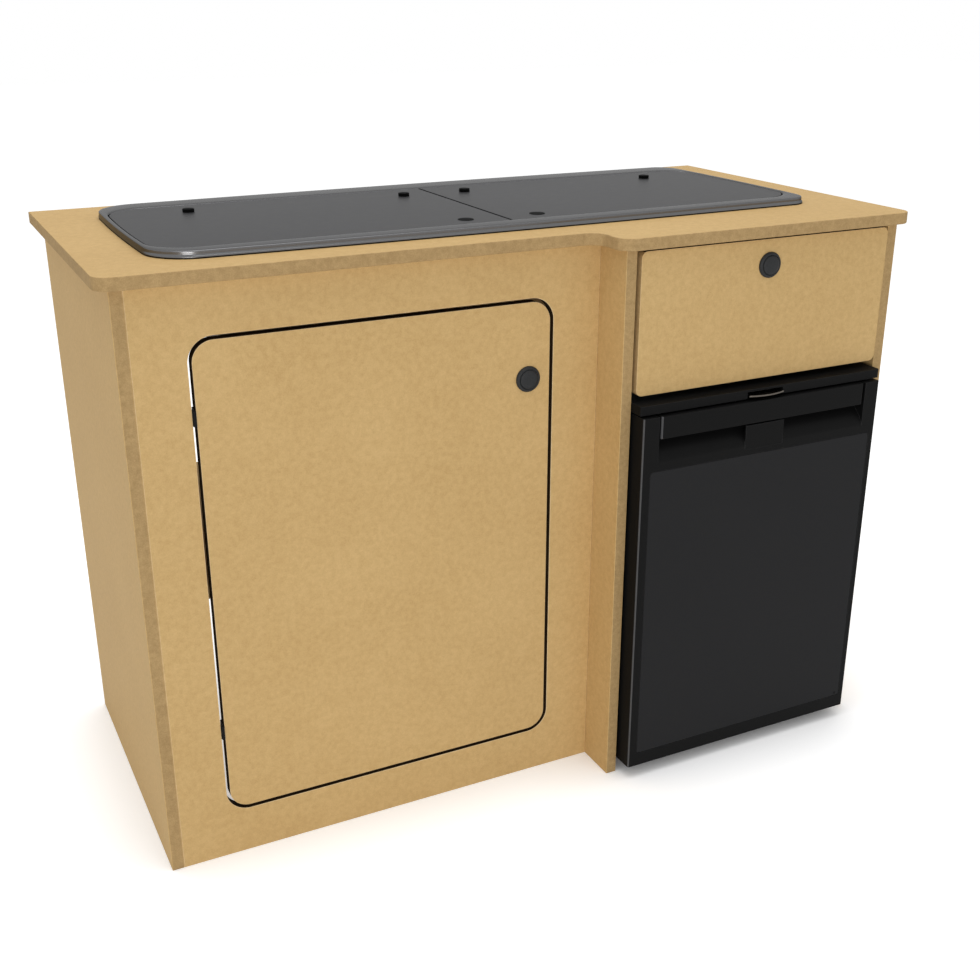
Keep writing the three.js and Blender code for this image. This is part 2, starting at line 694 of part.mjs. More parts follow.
['lower', 'upper'].forEach((name, index) => {
  piece(cupboard, `${name}_hinge_frame_leaf`, frameLeaf(hingeCentres[index]), BLACK_METAL);
  piece(cupboard, `${name}_hinge_door_leaf`, doorLeaf(hingeCentres[index]), BLACK_METAL);
});
piece(cupboard, 'door_lock_body', inDoor(lockBody(LOCK_BOLT_REST)), BLACK_PLASTIC);
piece(cupboard, 'door_lock_button', inDoor(lockButton()), BLACK_PLASTIC);
piece(cupboard, 'door_lock_bolt', inDoor(lockBolt(LOCK_BOLT_REST)), ZINC);

// Drawer: front board, plywood box and telescopic runners
const drawer = group();
const drawerLeft = bayLeft + DRAWER_GAP;
const drawerRight = bayRight - DRAWER_GAP;
const drawerOutline = [drawerLeft, drawerRight, drawerFrontLow, drawerHigh, DRAWER_CORNER];
const drawerBoard = upright(roundedPath(THREE.Shape, ...drawerOutline), drawerFace, drawerBack);
piece(drawer, 'drawer_front', cut(drawerBoard, inDrawer(lockHole())), FIBREBOARD);

const boxLeft = bayLeft + RUNNER_WIDTH;
const boxRight = bayRight - RUNNER_WIDTH;
const boxInnerLeft = boxLeft + DRAWER_SIDE_BOARD;
const boxInnerRight = boxRight - DRAWER_SIDE_BOARD;
const boxEnd = drawerBack + DRAWER_BOX_DEPTH;
const boxInnerEnd = boxEnd - DRAWER_SIDE_BOARD;
const boxLow = drawerFrontLow + DRAWER_BOX_RAISE;
const boxHigh = boxLow + DRAWER_BOX_HEIGHT;
const baseLow = boxLow + DRAWER_BASE_RAISE;
const baseHigh = baseLow + DRAWER_BASE_BOARD;
const leftSide = block(boxLeft, boxInnerLeft, drawerBack, boxEnd, boxLow, boxHigh);
const rightSide = block(boxInnerRight, boxRight, drawerBack, boxEnd, boxLow, boxHigh);
const backBoard = block(boxInnerLeft, boxInnerRight, boxInnerEnd, boxEnd, boxLow, boxHigh);
const baseBoard = block(boxInnerLeft, boxInnerRight, drawerBack, boxInnerEnd, baseLow, baseHigh);
piece(drawer, 'drawer_side_left', leftSide, PLYWOOD);
piece(drawer, 'drawer_side_right', rightSide, PLYWOOD);
piece(drawer, 'drawer_back', backBoard, PLYWOOD);
piece(drawer, 'drawer_base', baseBoard, PLYWOOD);

// A channel of thin sheet with its web at x0 and its flanges towards x1
function channel(x0, x1, low, high) {
  const towards = Math.sign(x1 - x0);
  const web = x0 + towards * RUNNER_SHEET;
  const outline = [[x0, low], [x1, low], [x1, low + RUNNER_SHEET], [web, low + RUNNER_SHEET]];
  outline.push([web, high - RUNNER_SHEET], [x1, high - RUNNER_SHEET], [x1, high], [x0, high]);
  const start = drawerBack + RUNNER_FROM_FRONT;
  return upright(polygon(outline), start, start + RUNNER_LENGTH);
}

const runnerLow = boxLow + RUNNER_RAISE;
const runnerHigh = runnerLow + RUNNER_HEIGHT;
const runnerStep = RUNNER_SHEET + RUNNER_CLEAR;

function runnerMembers(wall, side) {
  const boxFace = wall + side * RUNNER_WIDTH;
  const middleWeb = wall + side * runnerStep;
  const outer = channel(wall, wall + side * RUNNER_FLANGE, runnerLow, runnerHigh);
  const middleEnd = middleWeb + side * RUNNER_FLANGE;
  const middle = channel(middleWeb, middleEnd, runnerLow + runnerStep, runnerHigh - runnerStep);
  const innerLow = runnerLow + 2 * runnerStep;
  const innerHigh = runnerHigh - 2 * runnerStep;
  return [outer, middle, channel(boxFace, boxFace - side * RUNNER_FLANGE, innerLow, innerHigh)];
}

[['left', bayLeft, 1], ['right', bayRight, -1]].forEach(([name, wall, side]) => {
  const [outer, middle, inner] = runnerMembers(wall, side);
  piece(drawer, `runner_outer_${name}`, outer, ZINC);
  piece(drawer, `runner_middle_${name}`, middle, ZINC);
  piece(drawer, `runner_inner_${name}`, inner, ZINC);
});
piece(drawer, 'drawer_lock_body', inDrawer(lockBody(DRAWER_BOLT_REST)), BLACK_PLASTIC);
piece(drawer, 'drawer_lock_button', inDrawer(lockButton()), BLACK_PLASTIC);
piece(drawer, 'drawer_lock_bolt', inDrawer(lockBolt(DRAWER_BOLT_REST)), ZINC);

// The strike hangs under the worktop, and its lip holds the drawer's raised bolt
function drawerStrike() {
  const half = STRIKE_WIDTH / 2;
  const lipFront = drawerBack + STRIKE_LIP_GAP;
  const across = [bayMiddle - half, bayMiddle + half];
  const under = block(...across, lipFront, lipFront + STRIKE_DEPTH, CASE_HEIGHT - STRIKE_SHEET, CASE_HEIGHT);
  const lip = block(...across, lipFront, lipFront + STRIKE_SHEET, CASE_HEIGHT - STRIKE_LIP, CASE_HEIGHT);
  return join(under, lip);
}

piece(drawer, 'drawer_strike', drawerStrike(), ZINC);

// Hob and sink unit. Heights in this part count from the worktop's upper face
const unit = group();

function onTop(height) {
  return worktopTop + height;
}

// The corner points of a rounded rectangle round its own middle, with its sides bowed outwards
function bowedOutline(length, depth, corners, endBow, sideBow) {
  const halfLength = length / 2 - endBow;
  const halfDepth = depth / 2 - sideBow;
  const [left, right] = corners;
  const turns = [[1, -1, right], [1, 1, right], [-1, 1, left], [-1, -1, left]];
  const flat = [];
  turns.forEach(([signX, signY, corner], index) => {
    const [nextX, nextY, nextCorner] = turns[(index + 1) % turns.length];
    for (let step = 0; step < OUTLINE_STEPS + SIDE_STEPS; step += 1) {
      const turn = Math.min(step / OUTLINE_STEPS, 1);
      const along = Math.max(step - OUTLINE_STEPS, 0) / SIDE_STEPS;
      const angle = (index - 1 + turn) * QUARTER;
      const here = [signX * (halfLength - corner), signY * (halfDepth - corner)];
      const there = [nextX * (halfLength - nextCorner), nextY * (halfDepth - nextCorner)];
      const [startX, startY] = [here[0] + corner * Math.cos(angle), here[1] + corner * Math.sin(angle)];
      const [endX, endY] = [there[0] + nextCorner * Math.cos(angle), there[1] + nextCorner * Math.sin(angle)];
      flat.push([startX + (endX - startX) * along, startY + (endY - startY) * along]);
    }
  });
  return flat.map(([x, y]) => {
    const endSwell = 1 + (endBow / halfLength) * (1 - (y / halfDepth) ** 2);
    const sideSwell = 1 + (sideBow / halfDepth) * (1 - (x / halfLength) ** 2);
    return [x * endSwell, y * sideSwell];
  });
}

function movedOutline(outline, middleY) {
  return outline.map(([x, y]) => [x + unitMiddleX, y + middleY]);
}

const unitCorners = [UNIT_LEFT_CORNER, UNIT_RIGHT_CORNER];
const unitSize = [UNIT_LENGTH, UNIT_DEPTH, unitCorners, UNIT_END_BOW, UNIT_SIDE_BOW];
const unitOutline = movedOutline(bowedOutline(...unitSize), unitMiddleY);

function pocketOutline(inset) {
  const corners = [POCKET_CORNER - inset, POCKET_CORNER - inset];
  const size = [POCKET_LENGTH - 2 * inset, pocketDepth - 2 * inset, corners];
  return movedOutline(bowedOutline(...size, POCKET_END_BOW, POCKET_SIDE_BOW), pocketMiddleY);
}

function unitSeal() {
  const corners = unitCorners.map((corner) => corner - SEAL_WIDTH);
  const inner = [UNIT_LENGTH - 2 * SEAL_WIDTH, UNIT_DEPTH - 2 * SEAL_WIDTH, corners];
  const hole = movedOutline(bowedOutline(...inner, UNIT_END_BOW, UNIT_SIDE_BOW), unitMiddleY);
  const shape = polygon(unitOutline);
  shape.holes.push(new THREE.Path(hole.map(([x, y]) => new THREE.Vector2(x, y))));
  return slab(shape, worktopTop, onTop(SEAL_HEIGHT));
}

piece(unit, 'unit_seal', unitSeal(), RUBBER);

// The rim's section: how far it is from the unit's edge to the pocket's, and its height there
const undersideShare = 0.6;
const rimShares = [0, 0, 0.02, 0.08, 0.4, 0.8, 0.97, 1, 1];
const rimHeights = [SEAL_HEIGHT, SEAL_HEIGHT + RIM_RISE, RIM_SHOULDER, RIM_BROW, RIM_CREST];
rimHeights.push(RIM_CREST, RIM_LIP, RIM_EDGE, LEDGE_HEIGHT);
const plateLow = LEDGE_HEIGHT - STEEL;

// A closed body through a row of rings, flat at its first and last ring
function loft(rings) {
  const count = rings[0].length;
  const points = rings.flat(2);
  const corners = [];
  for (let level = 0; level + 1 < rings.length; level += 1) {
    for (let i = 0; i < count; i += 1) {
      const [a, b] = [level * count + i, level * count + ((i + 1) % count)];
      corners.push(a, b, b + count, a, b + count, a + count);
    }
  }
  const flat = (ring) => ring.map(([x, y]) => new THREE.Vector2(x, y));
  const last = (rings.length - 1) * count;
  for (const [a, b, c] of THREE.ShapeUtils.triangulateShape(flat(rings[0]), [])) corners.push(c, b, a);
  for (const [a, b, c] of THREE.ShapeUtils.triangulateShape(flat(rings[rings.length - 1]), [])) {
    corners.push(last + a, last + b, last + c);
  }
  const geometry = new THREE.BufferGeometry();
  geometry.setAttribute('position', new THREE.Float32BufferAttribute(points, 3));
  geometry.setIndex(corners);
  return geometry;
}

function rimBody() {
  const pocket = pocketOutline(0);
  const ring = (share, height) => unitOutline.map(([x, y], i) => {
    const [px, py] = pocket[i];
    return [x + (px - x) * share, y + (py - y) * share, onTop(height)];
  });
  const upper = rimShares.map((share, index) => ring(share, rimHeights[index]));
  return loft([ring(undersideShare, plateLow), ring(undersideShare, SEAL_HEIGHT), ...upper]);
}

// A pan's space, grown by the given amount at its sides
function panSlab([x0, x1], grow, low, high) {
  const sides = [x0 - grow, x1 + grow, panFront - grow, panBack + grow, PAN_CORNER + grow];
  return slab(roundedPath(THREE.Shape, ...sides), onTop(low), onTop(high));
}

const bowlFront = panFront + BOWL_FRONT_MARGIN;
const bowlBack = panBack - BOWL_BACK_MARGIN;
const bowlSides = [BOWL_LEFT, BOWL_LEFT + BOWL_WIDTH, bowlFront, bowlBack];
const bowlMiddleX = BOWL_LEFT + BOWL_WIDTH / 2;
const bowlMiddleY = (bowlFront + bowlBack) / 2;

function bowlSlab(grow, low, high) {
  const [x0, x1, y0, y1] = bowlSides;
  const sides = [x0 - grow, x1 + grow, y0 - grow, y1 + grow, BOWL_CORNER + grow];
  return slab(roundedPath(THREE.Shape, ...sides), onTop(low), onTop(high));
}

// Places on the pans
const tapX = leftPan[1] - TAP_FROM_PAN_RIGHT;
const tapY = panBack - TAP_FROM_PAN_BACK;
const valveY = tapY - TAP_VALVE_SPACING;
const rightPanMiddle = (rightPan[0] + rightPan[1]) / 2;
const burnerPlaces = [-1, 1].map((side) => rightPanMiddle + (side * BURNER_SPACING) / 2);
const hobKnobY = panFront + HOB_KNOB_FROM_FRONT;
const supportFront = hobKnobY + HOB_KNOB_RADIUS + SUPPORT_FROM_KNOBS;
const supportBack = panBack - SUPPORT_FROM_PAN_BACK;
const supportAcross = (PAN_WIDTH - BURNER_SPACING) / 2 - SUPPORT_FROM_PAN_END;
const supportReaches = [supportAcross, (supportBack - supportFront) / 2];
const burnerY = (supportFront + supportBack) / 2;
const hobKnobPlaces = [-1, 1].map((side) => rightPanMiddle + (side * HOB_KNOB_SPACING) / 2);
const panFloor = onTop(-PAN_DROP);
const onPan = panFloor + FIT;

function floorHole(radius, x, y) {
  return rod(radius + FIT, panFloor - STEEL - OVERRUN, panFloor + OVERRUN).translate(x, y, 0);
}

// Lid hinges: two to a lid, on one line behind the pocket, in notches through the rim
const lidAxisY = pocketBack + LID_AXIS_BACK;
const lidAxisZ = onTop(LID_AXIS_HEIGHT);
const seamLeft = unitMiddleX - SEAM_GAP / 2;
const seamRight = unitMiddleX + SEAM_GAP / 2;
const lidOffset = (POCKET_LENGTH / 2 - GLASS_EDGE_GAP + SEAM_GAP / 2) / 2;
const lidCentres = [unitMiddleX - lidOffset, unitMiddleX + lidOffset];
const lidHingePlaces = lidCentres.map((x) => [x - LID_HINGE_SPREAD, x + LID_HINGE_SPREAD]);
const earStart = LID_KNUCKLE_WIDTH / 2 + FIT;
const earEnd = earStart + LID_BASE_WIDTH;
const baseFront = lidAxisY - LID_KNUCKLE_RADIUS - FIT;
const baseBack = lidAxisY + LID_KNUCKLE_RADIUS + FIT + LID_BASE_WEB;

function hingeNotch(x) {
  const across = [x - earEnd - FIT, x + earEnd + FIT];
  const heights = [onTop(LEDGE_HEIGHT), onTop(RIM_CREST) + OVERRUN];
  return block(...across, pocketBack - OVERRUN, baseBack + FIT, ...heights);
}

// Two ears with a web behind them and a pin across, welded to the tray in the notch
function lidHingeLugs(x) {
  const low = onTop(LEDGE_HEIGHT - STEEL / 2);
  const high = lidAxisZ + LID_KNUCKLE_RADIUS;
  const leftEar = block(x - earEnd, x - earStart, baseFront, baseBack, low, high);
  const rightEar = block(x + earStart, x + earEnd, baseFront, baseBack, low, high);
  const web = block(x - earEnd, x + earEnd, baseBack - LID_BASE_WEB, baseBack, low, high);
  const pin = rodRight(LID_PIN_RADIUS, -earStart - FIT, earStart + FIT, ROUND / 2);
  return [leftEar, rightEar, web, pin.translate(x, lidAxisY, lidAxisZ)];
}

function unitTray() {
  const shellTop = LEDGE_HEIGHT - STEEL / 2;
  const openTop = LEDGE_HEIGHT + OVERRUN;
  const bowlUnderside = -BOWL_DROP - STEEL;
  const shells = [leftPan, rightPan].map((pan) => panSlab(pan, STEEL, -PAN_DROP - STEEL, shellTop));
  const spaces = [leftPan, rightPan].map((pan) => panSlab(pan, 0, -PAN_DROP, openTop));
  shells.push(bowlSlab(STEEL, bowlUnderside, -PAN_DROP - STEEL / 2));
  spaces.push(bowlSlab(0, -BOWL_DROP, -PAN_DROP + OVERRUN));
  spaces.push(rod(DRAIN_SLEEVE + FIT, onTop(bowlUnderside) - OVERRUN, onTop(-BOWL_DROP) + OVERRUN)
    .translate(bowlMiddleX, bowlMiddleY, 0));
  spaces.push(floorHole(TAP_STUB_RADIUS, tapX, tapY), floorHole(SHAFT_RADIUS, tapX, valveY));
  spaces.push(...burnerPlaces.map((x) => floorHole(BURNER_STEM_RADIUS, x, burnerY)));
  spaces.push(...hobKnobPlaces.map((x) => floorHole(SHAFT_RADIUS, x, hobKnobY)));
  spaces.push(...lidHingePlaces.flat().map(hingeNotch));
  return join(cut(join(rimBody(), ...shells), ...spaces), ...lidHingePlaces.flat().flatMap(lidHingeLugs));
}

piece(unit, 'unit_tray', unitTray(), STAINLESS);

// Glass lids, each with its hinge rail
const glassLow = onTop(LEDGE_HEIGHT + GLASS_RAISE);
const glassHigh = glassLow + GLASS;
const leafFront = pocketBack - GLASS_EDGE_GAP - LID_LEAF_REACH;

function glassLid(side) {
  const [x0, x1] = side < 0 ? [pocketLeft - OVERRUN, seamLeft] : [seamRight, pocketRight + OVERRUN];
  const whole = slab(polygon(pocketOutline(GLASS_EDGE_GAP)), glassLow, glassHigh);
  const depths = [pocketFront - OVERRUN, pocketBack + OVERRUN];
  const half = block(x0, x1, ...depths, glassLow - OVERRUN, glassHigh + OVERRUN);
  return join(common(whole, half), ...lidRubber(side));
}

// The rubber in holes through each glass: two tall bumpers near the back, which the open lid
// leans on, and a flat disc near the seam. The two next to the seam are pads below the glass too.
function lidRubber(side) {
  const middle = (glassLow + glassHigh) / 2;
  const bumperTop = glassHigh + BUMPER_HEIGHT;
  const padLow = glassLow - GLASS_RAISE + FIT;
  const nearX = unitMiddleX + side * BUMPER_NEAR_SEAM;
  const farX = unitMiddleX + side * (POCKET_LENGTH / 2 - BUMPER_FROM_END);
  const discX = unitMiddleX + side * DISC_NEAR_SEAM;
  const bumperY = pocketBack - BUMPER_FROM_BACK;
  const discY = pocketFront + DISC_FROM_FRONT;
  const bumpers = [nearX, farX].map((x) => rod(BUMPER_RADIUS, middle, bumperTop).translate(x, bumperY, 0));
  const disc = rod(DISC_RADIUS, middle, glassHigh + DISC_HEIGHT).translate(discX, discY, 0);
  const nearPad = rod(PAD_RADIUS, padLow, middle).translate(nearX, bumperY, 0);
  const discPad = rod(PAD_RADIUS, padLow, middle).translate(discX, discY, 0);
  return [...bumpers, disc, nearPad, discPad];
}

// One rail to a lid: a strip bonded under the glass with two knuckles behind it
function lidHingeRail([x0, x1]) {
  const half = LID_KNUCKLE_WIDTH / 2;
  const stripBack = pocketBack - GLASS_EDGE_GAP;
  const low = glassLow - LID_LEAF_SHEET;
  const strip = block(x0 - half, x1 + half, leafFront, stripBack, low, glassLow);
  const leaves = [x0, x1].map((x) => block(x - half, x + half, leafFront, lidAxisY, low, glassLow));
  const knuckles = [x0, x1].map((x) => {
    return rodRight(LID_KNUCKLE_RADIUS, -half, half).translate(x, lidAxisY, lidAxisZ);
  });
  const bores = [x0, x1].map((x) => {
    const bore = rodRight(LID_KNUCKLE_BORE, -half - OVERRUN, half + OVERRUN, ROUND / 2);
    return bore.translate(x, lidAxisY, lidAxisZ);
  });
  return cut(join(strip, ...leaves, ...knuckles), ...bores);
}

[['left', -1], ['right', 1]].forEach(([name, side], index) => {
  piece(unit, `glass_lid_${name}`, glassLid(side), SMOKED_GLASS);
  piece(unit, `lid_hinge_rail_${name}`, lidHingeRail(lidHingePlaces[index]), BLACK_METAL);
});

// Sink fittings
function sinkDrain() {
  const floor = onTop(-BOWL_DROP);
  const top = floor + DRAIN_FLANGE;
  const end = floor - DRAIN_LENGTH;
  const profile = [[DRAIN_BORE, end], [DRAIN_SLEEVE, end], [DRAIN_SLEEVE, floor], [DRAIN_RADIUS, floor]];
  profile.push([DRAIN_RADIUS, top], [DRAIN_BORE, top], [DRAIN_BORE, end]);
  return turned(profile).translate(bowlMiddleX, bowlMiddleY, 0);
}

// A turned piece on the pan's floor with a shaft through it
function onShaft(radius, height, shaft) {
  const end = panFloor - SHAFT_LENGTH;
  const profile = [[0, end], [shaft, end], [shaft, onPan], [radius, onPan], [radius, onPan + height]];
  return turned([...profile, [0, onPan + height]]);
}

function tapSpout() {
  const low = onPan + TAP_BASE_HEIGHT + FIT;
  const high = glassLow - TAP_LID_CLEAR;
  const middle = high - TAP_SPOUT_RADIUS;
  const nozzleX = TAP_BEND - TAP_SPOUT_REACH;
  const foot = rod(TAP_FOOT_RADIUS, low, high);
  const arm = rodRight(TAP_SPOUT_RADIUS, -TAP_SPOUT_REACH, 0).translate(0, 0, middle);
  const nozzle = rod(TAP_NOZZLE_RADIUS, middle - TAP_NOZZLE_DROP, middle).translate(nozzleX, 0, 0);
  const mouth = rod(TAP_NOZZLE_BORE, middle - TAP_NOZZLE_DROP - OVERRUN, middle).translate(nozzleX, 0, 0);
  return cut(join(foot, arm, nozzle), mouth).translate(tapX, tapY, 0);
}

piece(unit, 'sink_drain', sinkDrain(), CHROME);
const tapBase = onShaft(TAP_BASE_RADIUS, TAP_BASE_HEIGHT, TAP_STUB_RADIUS).translate(tapX, tapY, 0);
piece(unit, 'tap_base', tapBase, CHROME);
piece(unit, 'tap_spout', tapSpout(), CHROME);
const valve = onShaft(TAP_VALVE_RADIUS, TAP_VALVE_HEIGHT, SHAFT_RADIUS).translate(tapX, valveY, 0);
piece(unit, 'tap_valve_knob', valve, CHROME);

// Hob fittings
function burner(x) {
  const end = -BURNER_STEM_LENGTH;
  const profile = [[0, end], [BURNER_STEM_RADIUS, end], [BURNER_STEM_RADIUS, 0], [BURNER_RADIUS, 0]];
  profile.push([BURNER_RADIUS, BURNER_SKIRT], [BURNER_CROWN_RADIUS, BURNER_SKIRT]);
  profile.push([BURNER_CROWN_RADIUS, BURNER_CROWN], [BURNER_CAP_RADIUS, BURNER_CROWN]);
  profile.push([BURNER_CAP_RADIUS, BURNER_HEIGHT], [0, BURNER_HEIGHT]);
  return turned(profile).translate(x, burnerY, onPan);
}

// One wire grid over both burners: at each a ring with four bars and feet down to the pan
function panSupport() {
  const top = glassLow - SUPPORT_CLEAR;
  const low = top - SUPPORT_BAR_HEIGHT;
  const half = SUPPORT_BAR / 2;
  const parts = burnerPlaces.flatMap((x) => {
    const ring = tube(SUPPORT_RING_RADIUS + half, SUPPORT_RING_RADIUS - half, low, low + SUPPORT_BAR);
    const arms = [0, 1, 2, 3].flatMap((turn) => {
      const reach = supportReaches[turn % 2];
      const bar = block(SUPPORT_START, reach, -half, half, low, top);
      const foot = block(reach - SUPPORT_BAR, reach, -half, half, onPan, top);
      return [bar, foot].map((solid) => solid.rotateZ(turn * QUARTER));
    });
    return [ring, ...arms].map((solid) => solid.translate(x, burnerY, 0));
  });
  const [first, second] = burnerPlaces;
  const linkEnds = [first + SUPPORT_START, second - SUPPORT_START];
  const link = block(...linkEnds, burnerY - half, burnerY + half, low, low + SUPPORT_BAR);
  return join(...parts, link);
}

function hobKnob(x) {
  const skirt = onShaft(HOB_KNOB_RADIUS, HOB_KNOB_SKIRT, SHAFT_RADIUS);
  const half = HOB_KNOB_GRIP / 2;
  const reach = HOB_KNOB_RADIUS - HOB_KNOB_GRIP / 2;
  const grip = block(-half, half, -reach, reach, onPan, onPan + HOB_KNOB_HEIGHT);
  return join(skirt, grip).translate(x, hobKnobY, 0);
}

function burnerBox() {
  const half = rightPanMiddle - bayLeft - BURNER_BOX_FROM_DIVIDER;
  const [x0, x1] = [rightPanMiddle - half, rightPanMiddle + half];
  const [y0, y1] = [panFront + BURNER_BOX_INSET, panBack - BURNER_BOX_INSET];
  const top = panFloor - STEEL - FIT;
  const low = onTop(-BURNER_BOX_DROP);
  const sheet = BURNER_BOX_SHEET;
  const space = block(x0 + sheet, x1 - sheet, y0 + sheet, y1 - sheet, low + sheet, top + OVERRUN);
  return cut(block(x0, x1, y0, y1, low, top), space);
}

['left', 'right'].forEach((name, index) => {
  piece(unit, `burner_${name}`, burner(burnerPlaces[index]), ENAMEL);
  piece(unit, `hob_knob_${name}`, hobKnob(hobKnobPlaces[index]), BLACK_PLASTIC);
});
piece(unit, 'pan_support', panSupport(), ENAMEL);
piece(unit, 'burner_box', burnerBox(), ZINC);

// Fridge
const fridge = group();
const fridgeLeft = bayLeft + FRIDGE_LEFT_GAP;
const fridgeRight = fridgeLeft + FRIDGE_WIDTH;
const fridgeFace = bayFront - FRIDGE_DOOR_REACH;
const fridgeDoorBack = fridgeFace + FRIDGE_DOOR_DEPTH;
const cabinetFront = fridgeDoorBack + FRIDGE_SEAL_DEPTH;
const fridgeBack = CASE_DEPTH - FRIDGE_BACK_GAP;
const fridgeMiddle = fridgeLeft + FRIDGE_WIDTH / 2;
const cavityLeft = fridgeLeft + FRIDGE_WALL;
const cavityRight = fridgeRight - FRIDGE_WALL;
const cavityLow = FRIDGE_DOOR_LOW + FRIDGE_BASE;
const cavityHigh = fridgeHigh - FRIDGE_WALL;
const upperShelfShare = 0.7;
const lowerShelfShare = 0.4;
const upperRackShare = 0.61;

function fridgeLevel(share) {
  return cavityLow + share * (cavityHigh - cavityLow);
}

const notchFront = fridgeBack - NOTCH_DEPTH;
const notchLow = FRIDGE_DOOR_LOW + NOTCH_SKIN;
const notchHigh = FRIDGE_DOOR_LOW + NOTCH_HEIGHT;
const cavityStep = notchHigh + FRIDGE_WALL;
const deepEnd = fridgeBack - FRIDGE_WALL;
const shortEnd = notchFront - FRIDGE_WALL;
const shelfFront = cabinetFront + FRIDGE_SHELF_SETBACK;
const shelfLevels = [[fridgeLevel(upperShelfShare), deepEnd], [fridgeLevel(lowerShelfShare), shortEnd]];

// The foamed body has a deep upper space, a shorter lower one and a notch at its back foot
function fridgeCabinet() {
  const body = block(fridgeLeft, fridgeRight, cabinetFront, fridgeBack, FRIDGE_DOOR_LOW, fridgeHigh);
  const across = [cavityLeft, cavityRight, cabinetFront - OVERRUN];
  const deep = block(...across, deepEnd, cavityStep, cavityHigh);
  const short = block(...across, shortEnd, cavityLow, cavityStep + OVERRUN);
  const sides = [fridgeLeft + NOTCH_SKIN, fridgeRight - NOTCH_SKIN];
  const rear = block(...sides, notchFront, fridgeBack + OVERRUN, notchLow, notchHigh);
  const ribs = shelfLevels.flatMap(([low, end]) => {
    const heights = [low - SHELF_RIB, low];
    const leftRib = block(cavityLeft - OVERRUN, cavityLeft + SHELF_RIB_REACH, shelfFront, end, ...heights);
    const rightRib = block(cavityRight - SHELF_RIB_REACH, cavityRight + OVERRUN, shelfFront, end,
      ...heights);
    return [leftRib, rightRib];
  });
  return join(cut(body, deep, short, rear), ...ribs);
}

piece(fridge, 'fridge_cabinet', fridgeCabinet(), GREY_PLASTIC);

// Wire shelves: two cross bars under a row of long ones
function wireShelf([low, end]) {
  const gap = FRIDGE_SHELF_GAP;
  const [x0, x1, y0, y1] = [cavityLeft + gap, cavityRight - gap, shelfFront, end - gap];
  const across = [y0, y1 - WIRE].map((y) => block(x0, x1, y, y + WIRE, low + FIT, low + FIT + WIRE));
  const pitch = (x1 - x0 - WIRE) / (WIRE_COUNT - 1);
  const along = Array.from({ length: WIRE_COUNT }, (_, index) => {
    const x = x0 + index * pitch;
    return block(x, x + WIRE, y0, y1, low + FIT + WIRE / 2, low + FIT + 2 * WIRE);
  });
  return join(...across, ...along);
}

piece(fridge, 'fridge_shelf_upper', wireShelf(shelfLevels[0]), WHITE_PLASTIC);
piece(fridge, 'fridge_shelf_lower', wireShelf(shelfLevels[1]), WHITE_PLASTIC);

// Top trim bar: it caps the cabinet and overhangs the door, with a recess for the latch lever,
// the door's upper hinge pin and a stub pin at the far side
const trimFront = fridgeFace + TRIM_SETBACK;
const trimHigh = fridgeHigh + TRIM_HEIGHT;
const latchPinY = trimFront + LATCH_TAIL;
const latchZ = fridgeHigh + LATCH_RAISE + LATCH_SHEET / 2;
const fridgePinX = fridgeRight - FRIDGE_PIN_FROM_EDGE;
const fridgePinY = fridgeFace + FRIDGE_PIN_FROM_FACE;
const stubX = fridgeLeft + FRIDGE_PIN_FROM_EDGE;
const pinTop = fridgeHigh + TRIM_HEIGHT / 2;

function fridgePinHole(x, z0, z1) {
  return rod(FRIDGE_PIN_RADIUS + FIT, z0, z1).translate(x, fridgePinY, 0);
}

function topTrim() {
  const half = FRIDGE_WIDTH / 2 + TRIM_PROUD;
  const sides = [fridgeMiddle - half, fridgeMiddle + half, trimFront, trimFront + TRIM_DEPTH];
  const bar = slab(roundedPath(THREE.Shape, ...sides, TRIM_EDGE), fridgeHigh, trimHigh);
  const recess = LATCH_RECESS / 2;
  const latchLeft = fridgeMiddle - recess;
  const space = block(latchLeft, fridgeMiddle + recess, trimFront - OVERRUN, trimFront + LATCH_RECESS_DEPTH,
    fridgeHigh - OVERRUN, fridgeHigh + LATCH_RECESS_HEIGHT);
  const reach = recess + LATCH_PIN_BITE + FIT;
  const pinHole = rodRight(LATCH_PIN_RADIUS + FIT, -reach, reach, ROUND / 2);
  const hingePin = rod(FRIDGE_PIN_RADIUS, fridgeDoorHigh - FRIDGE_PIN_BITE, pinTop);
  const stub = rod(FRIDGE_PIN_RADIUS, fridgeDoorHigh + FIT, pinTop);
  const pins = [hingePin.translate(fridgePinX, fridgePinY, 0), stub.translate(stubX, fridgePinY, 0)];
  return join(cut(bar, space, pinHole.translate(fridgeMiddle, latchPinY, latchZ)), ...pins);
}

// Latch lever: a crescent plate that turns on a pin across its rear edge
function latchLever() {
  const half = LATCH_WIDTH / 2;
  const shoulder = trimFront - LATCH_NOSE;
  const shape = new THREE.Shape();
  shape.moveTo(-half, latchPinY);
  shape.lineTo(half, latchPinY);
  shape.lineTo(half, shoulder);
  shape.quadraticCurveTo(0, shoulder - 2 * LATCH_CROWN, -half, shoulder);
  shape.closePath();
  const low = fridgeHigh + LATCH_RAISE;
  const plate = slab(shape, low, low + LATCH_SHEET, 2 * CORNER_STEPS);
  const knuckle = rodRight(LATCH_KNUCKLE_RADIUS, -half, half, ROUND / 2).translate(0, latchPinY, latchZ);
  const reach = LATCH_RECESS / 2 + LATCH_PIN_BITE;
  const pin = rodRight(LATCH_PIN_RADIUS, -reach, reach, ROUND / 2).translate(0, latchPinY, latchZ);
  return join(plate, knuckle, pin).translate(fridgeMiddle, 0, 0);
}

piece(fridge, 'fridge_top_trim', topTrim(), GREY_PLASTIC);
piece(fridge, 'fridge_latch_lever', latchLever(), STAINLESS);

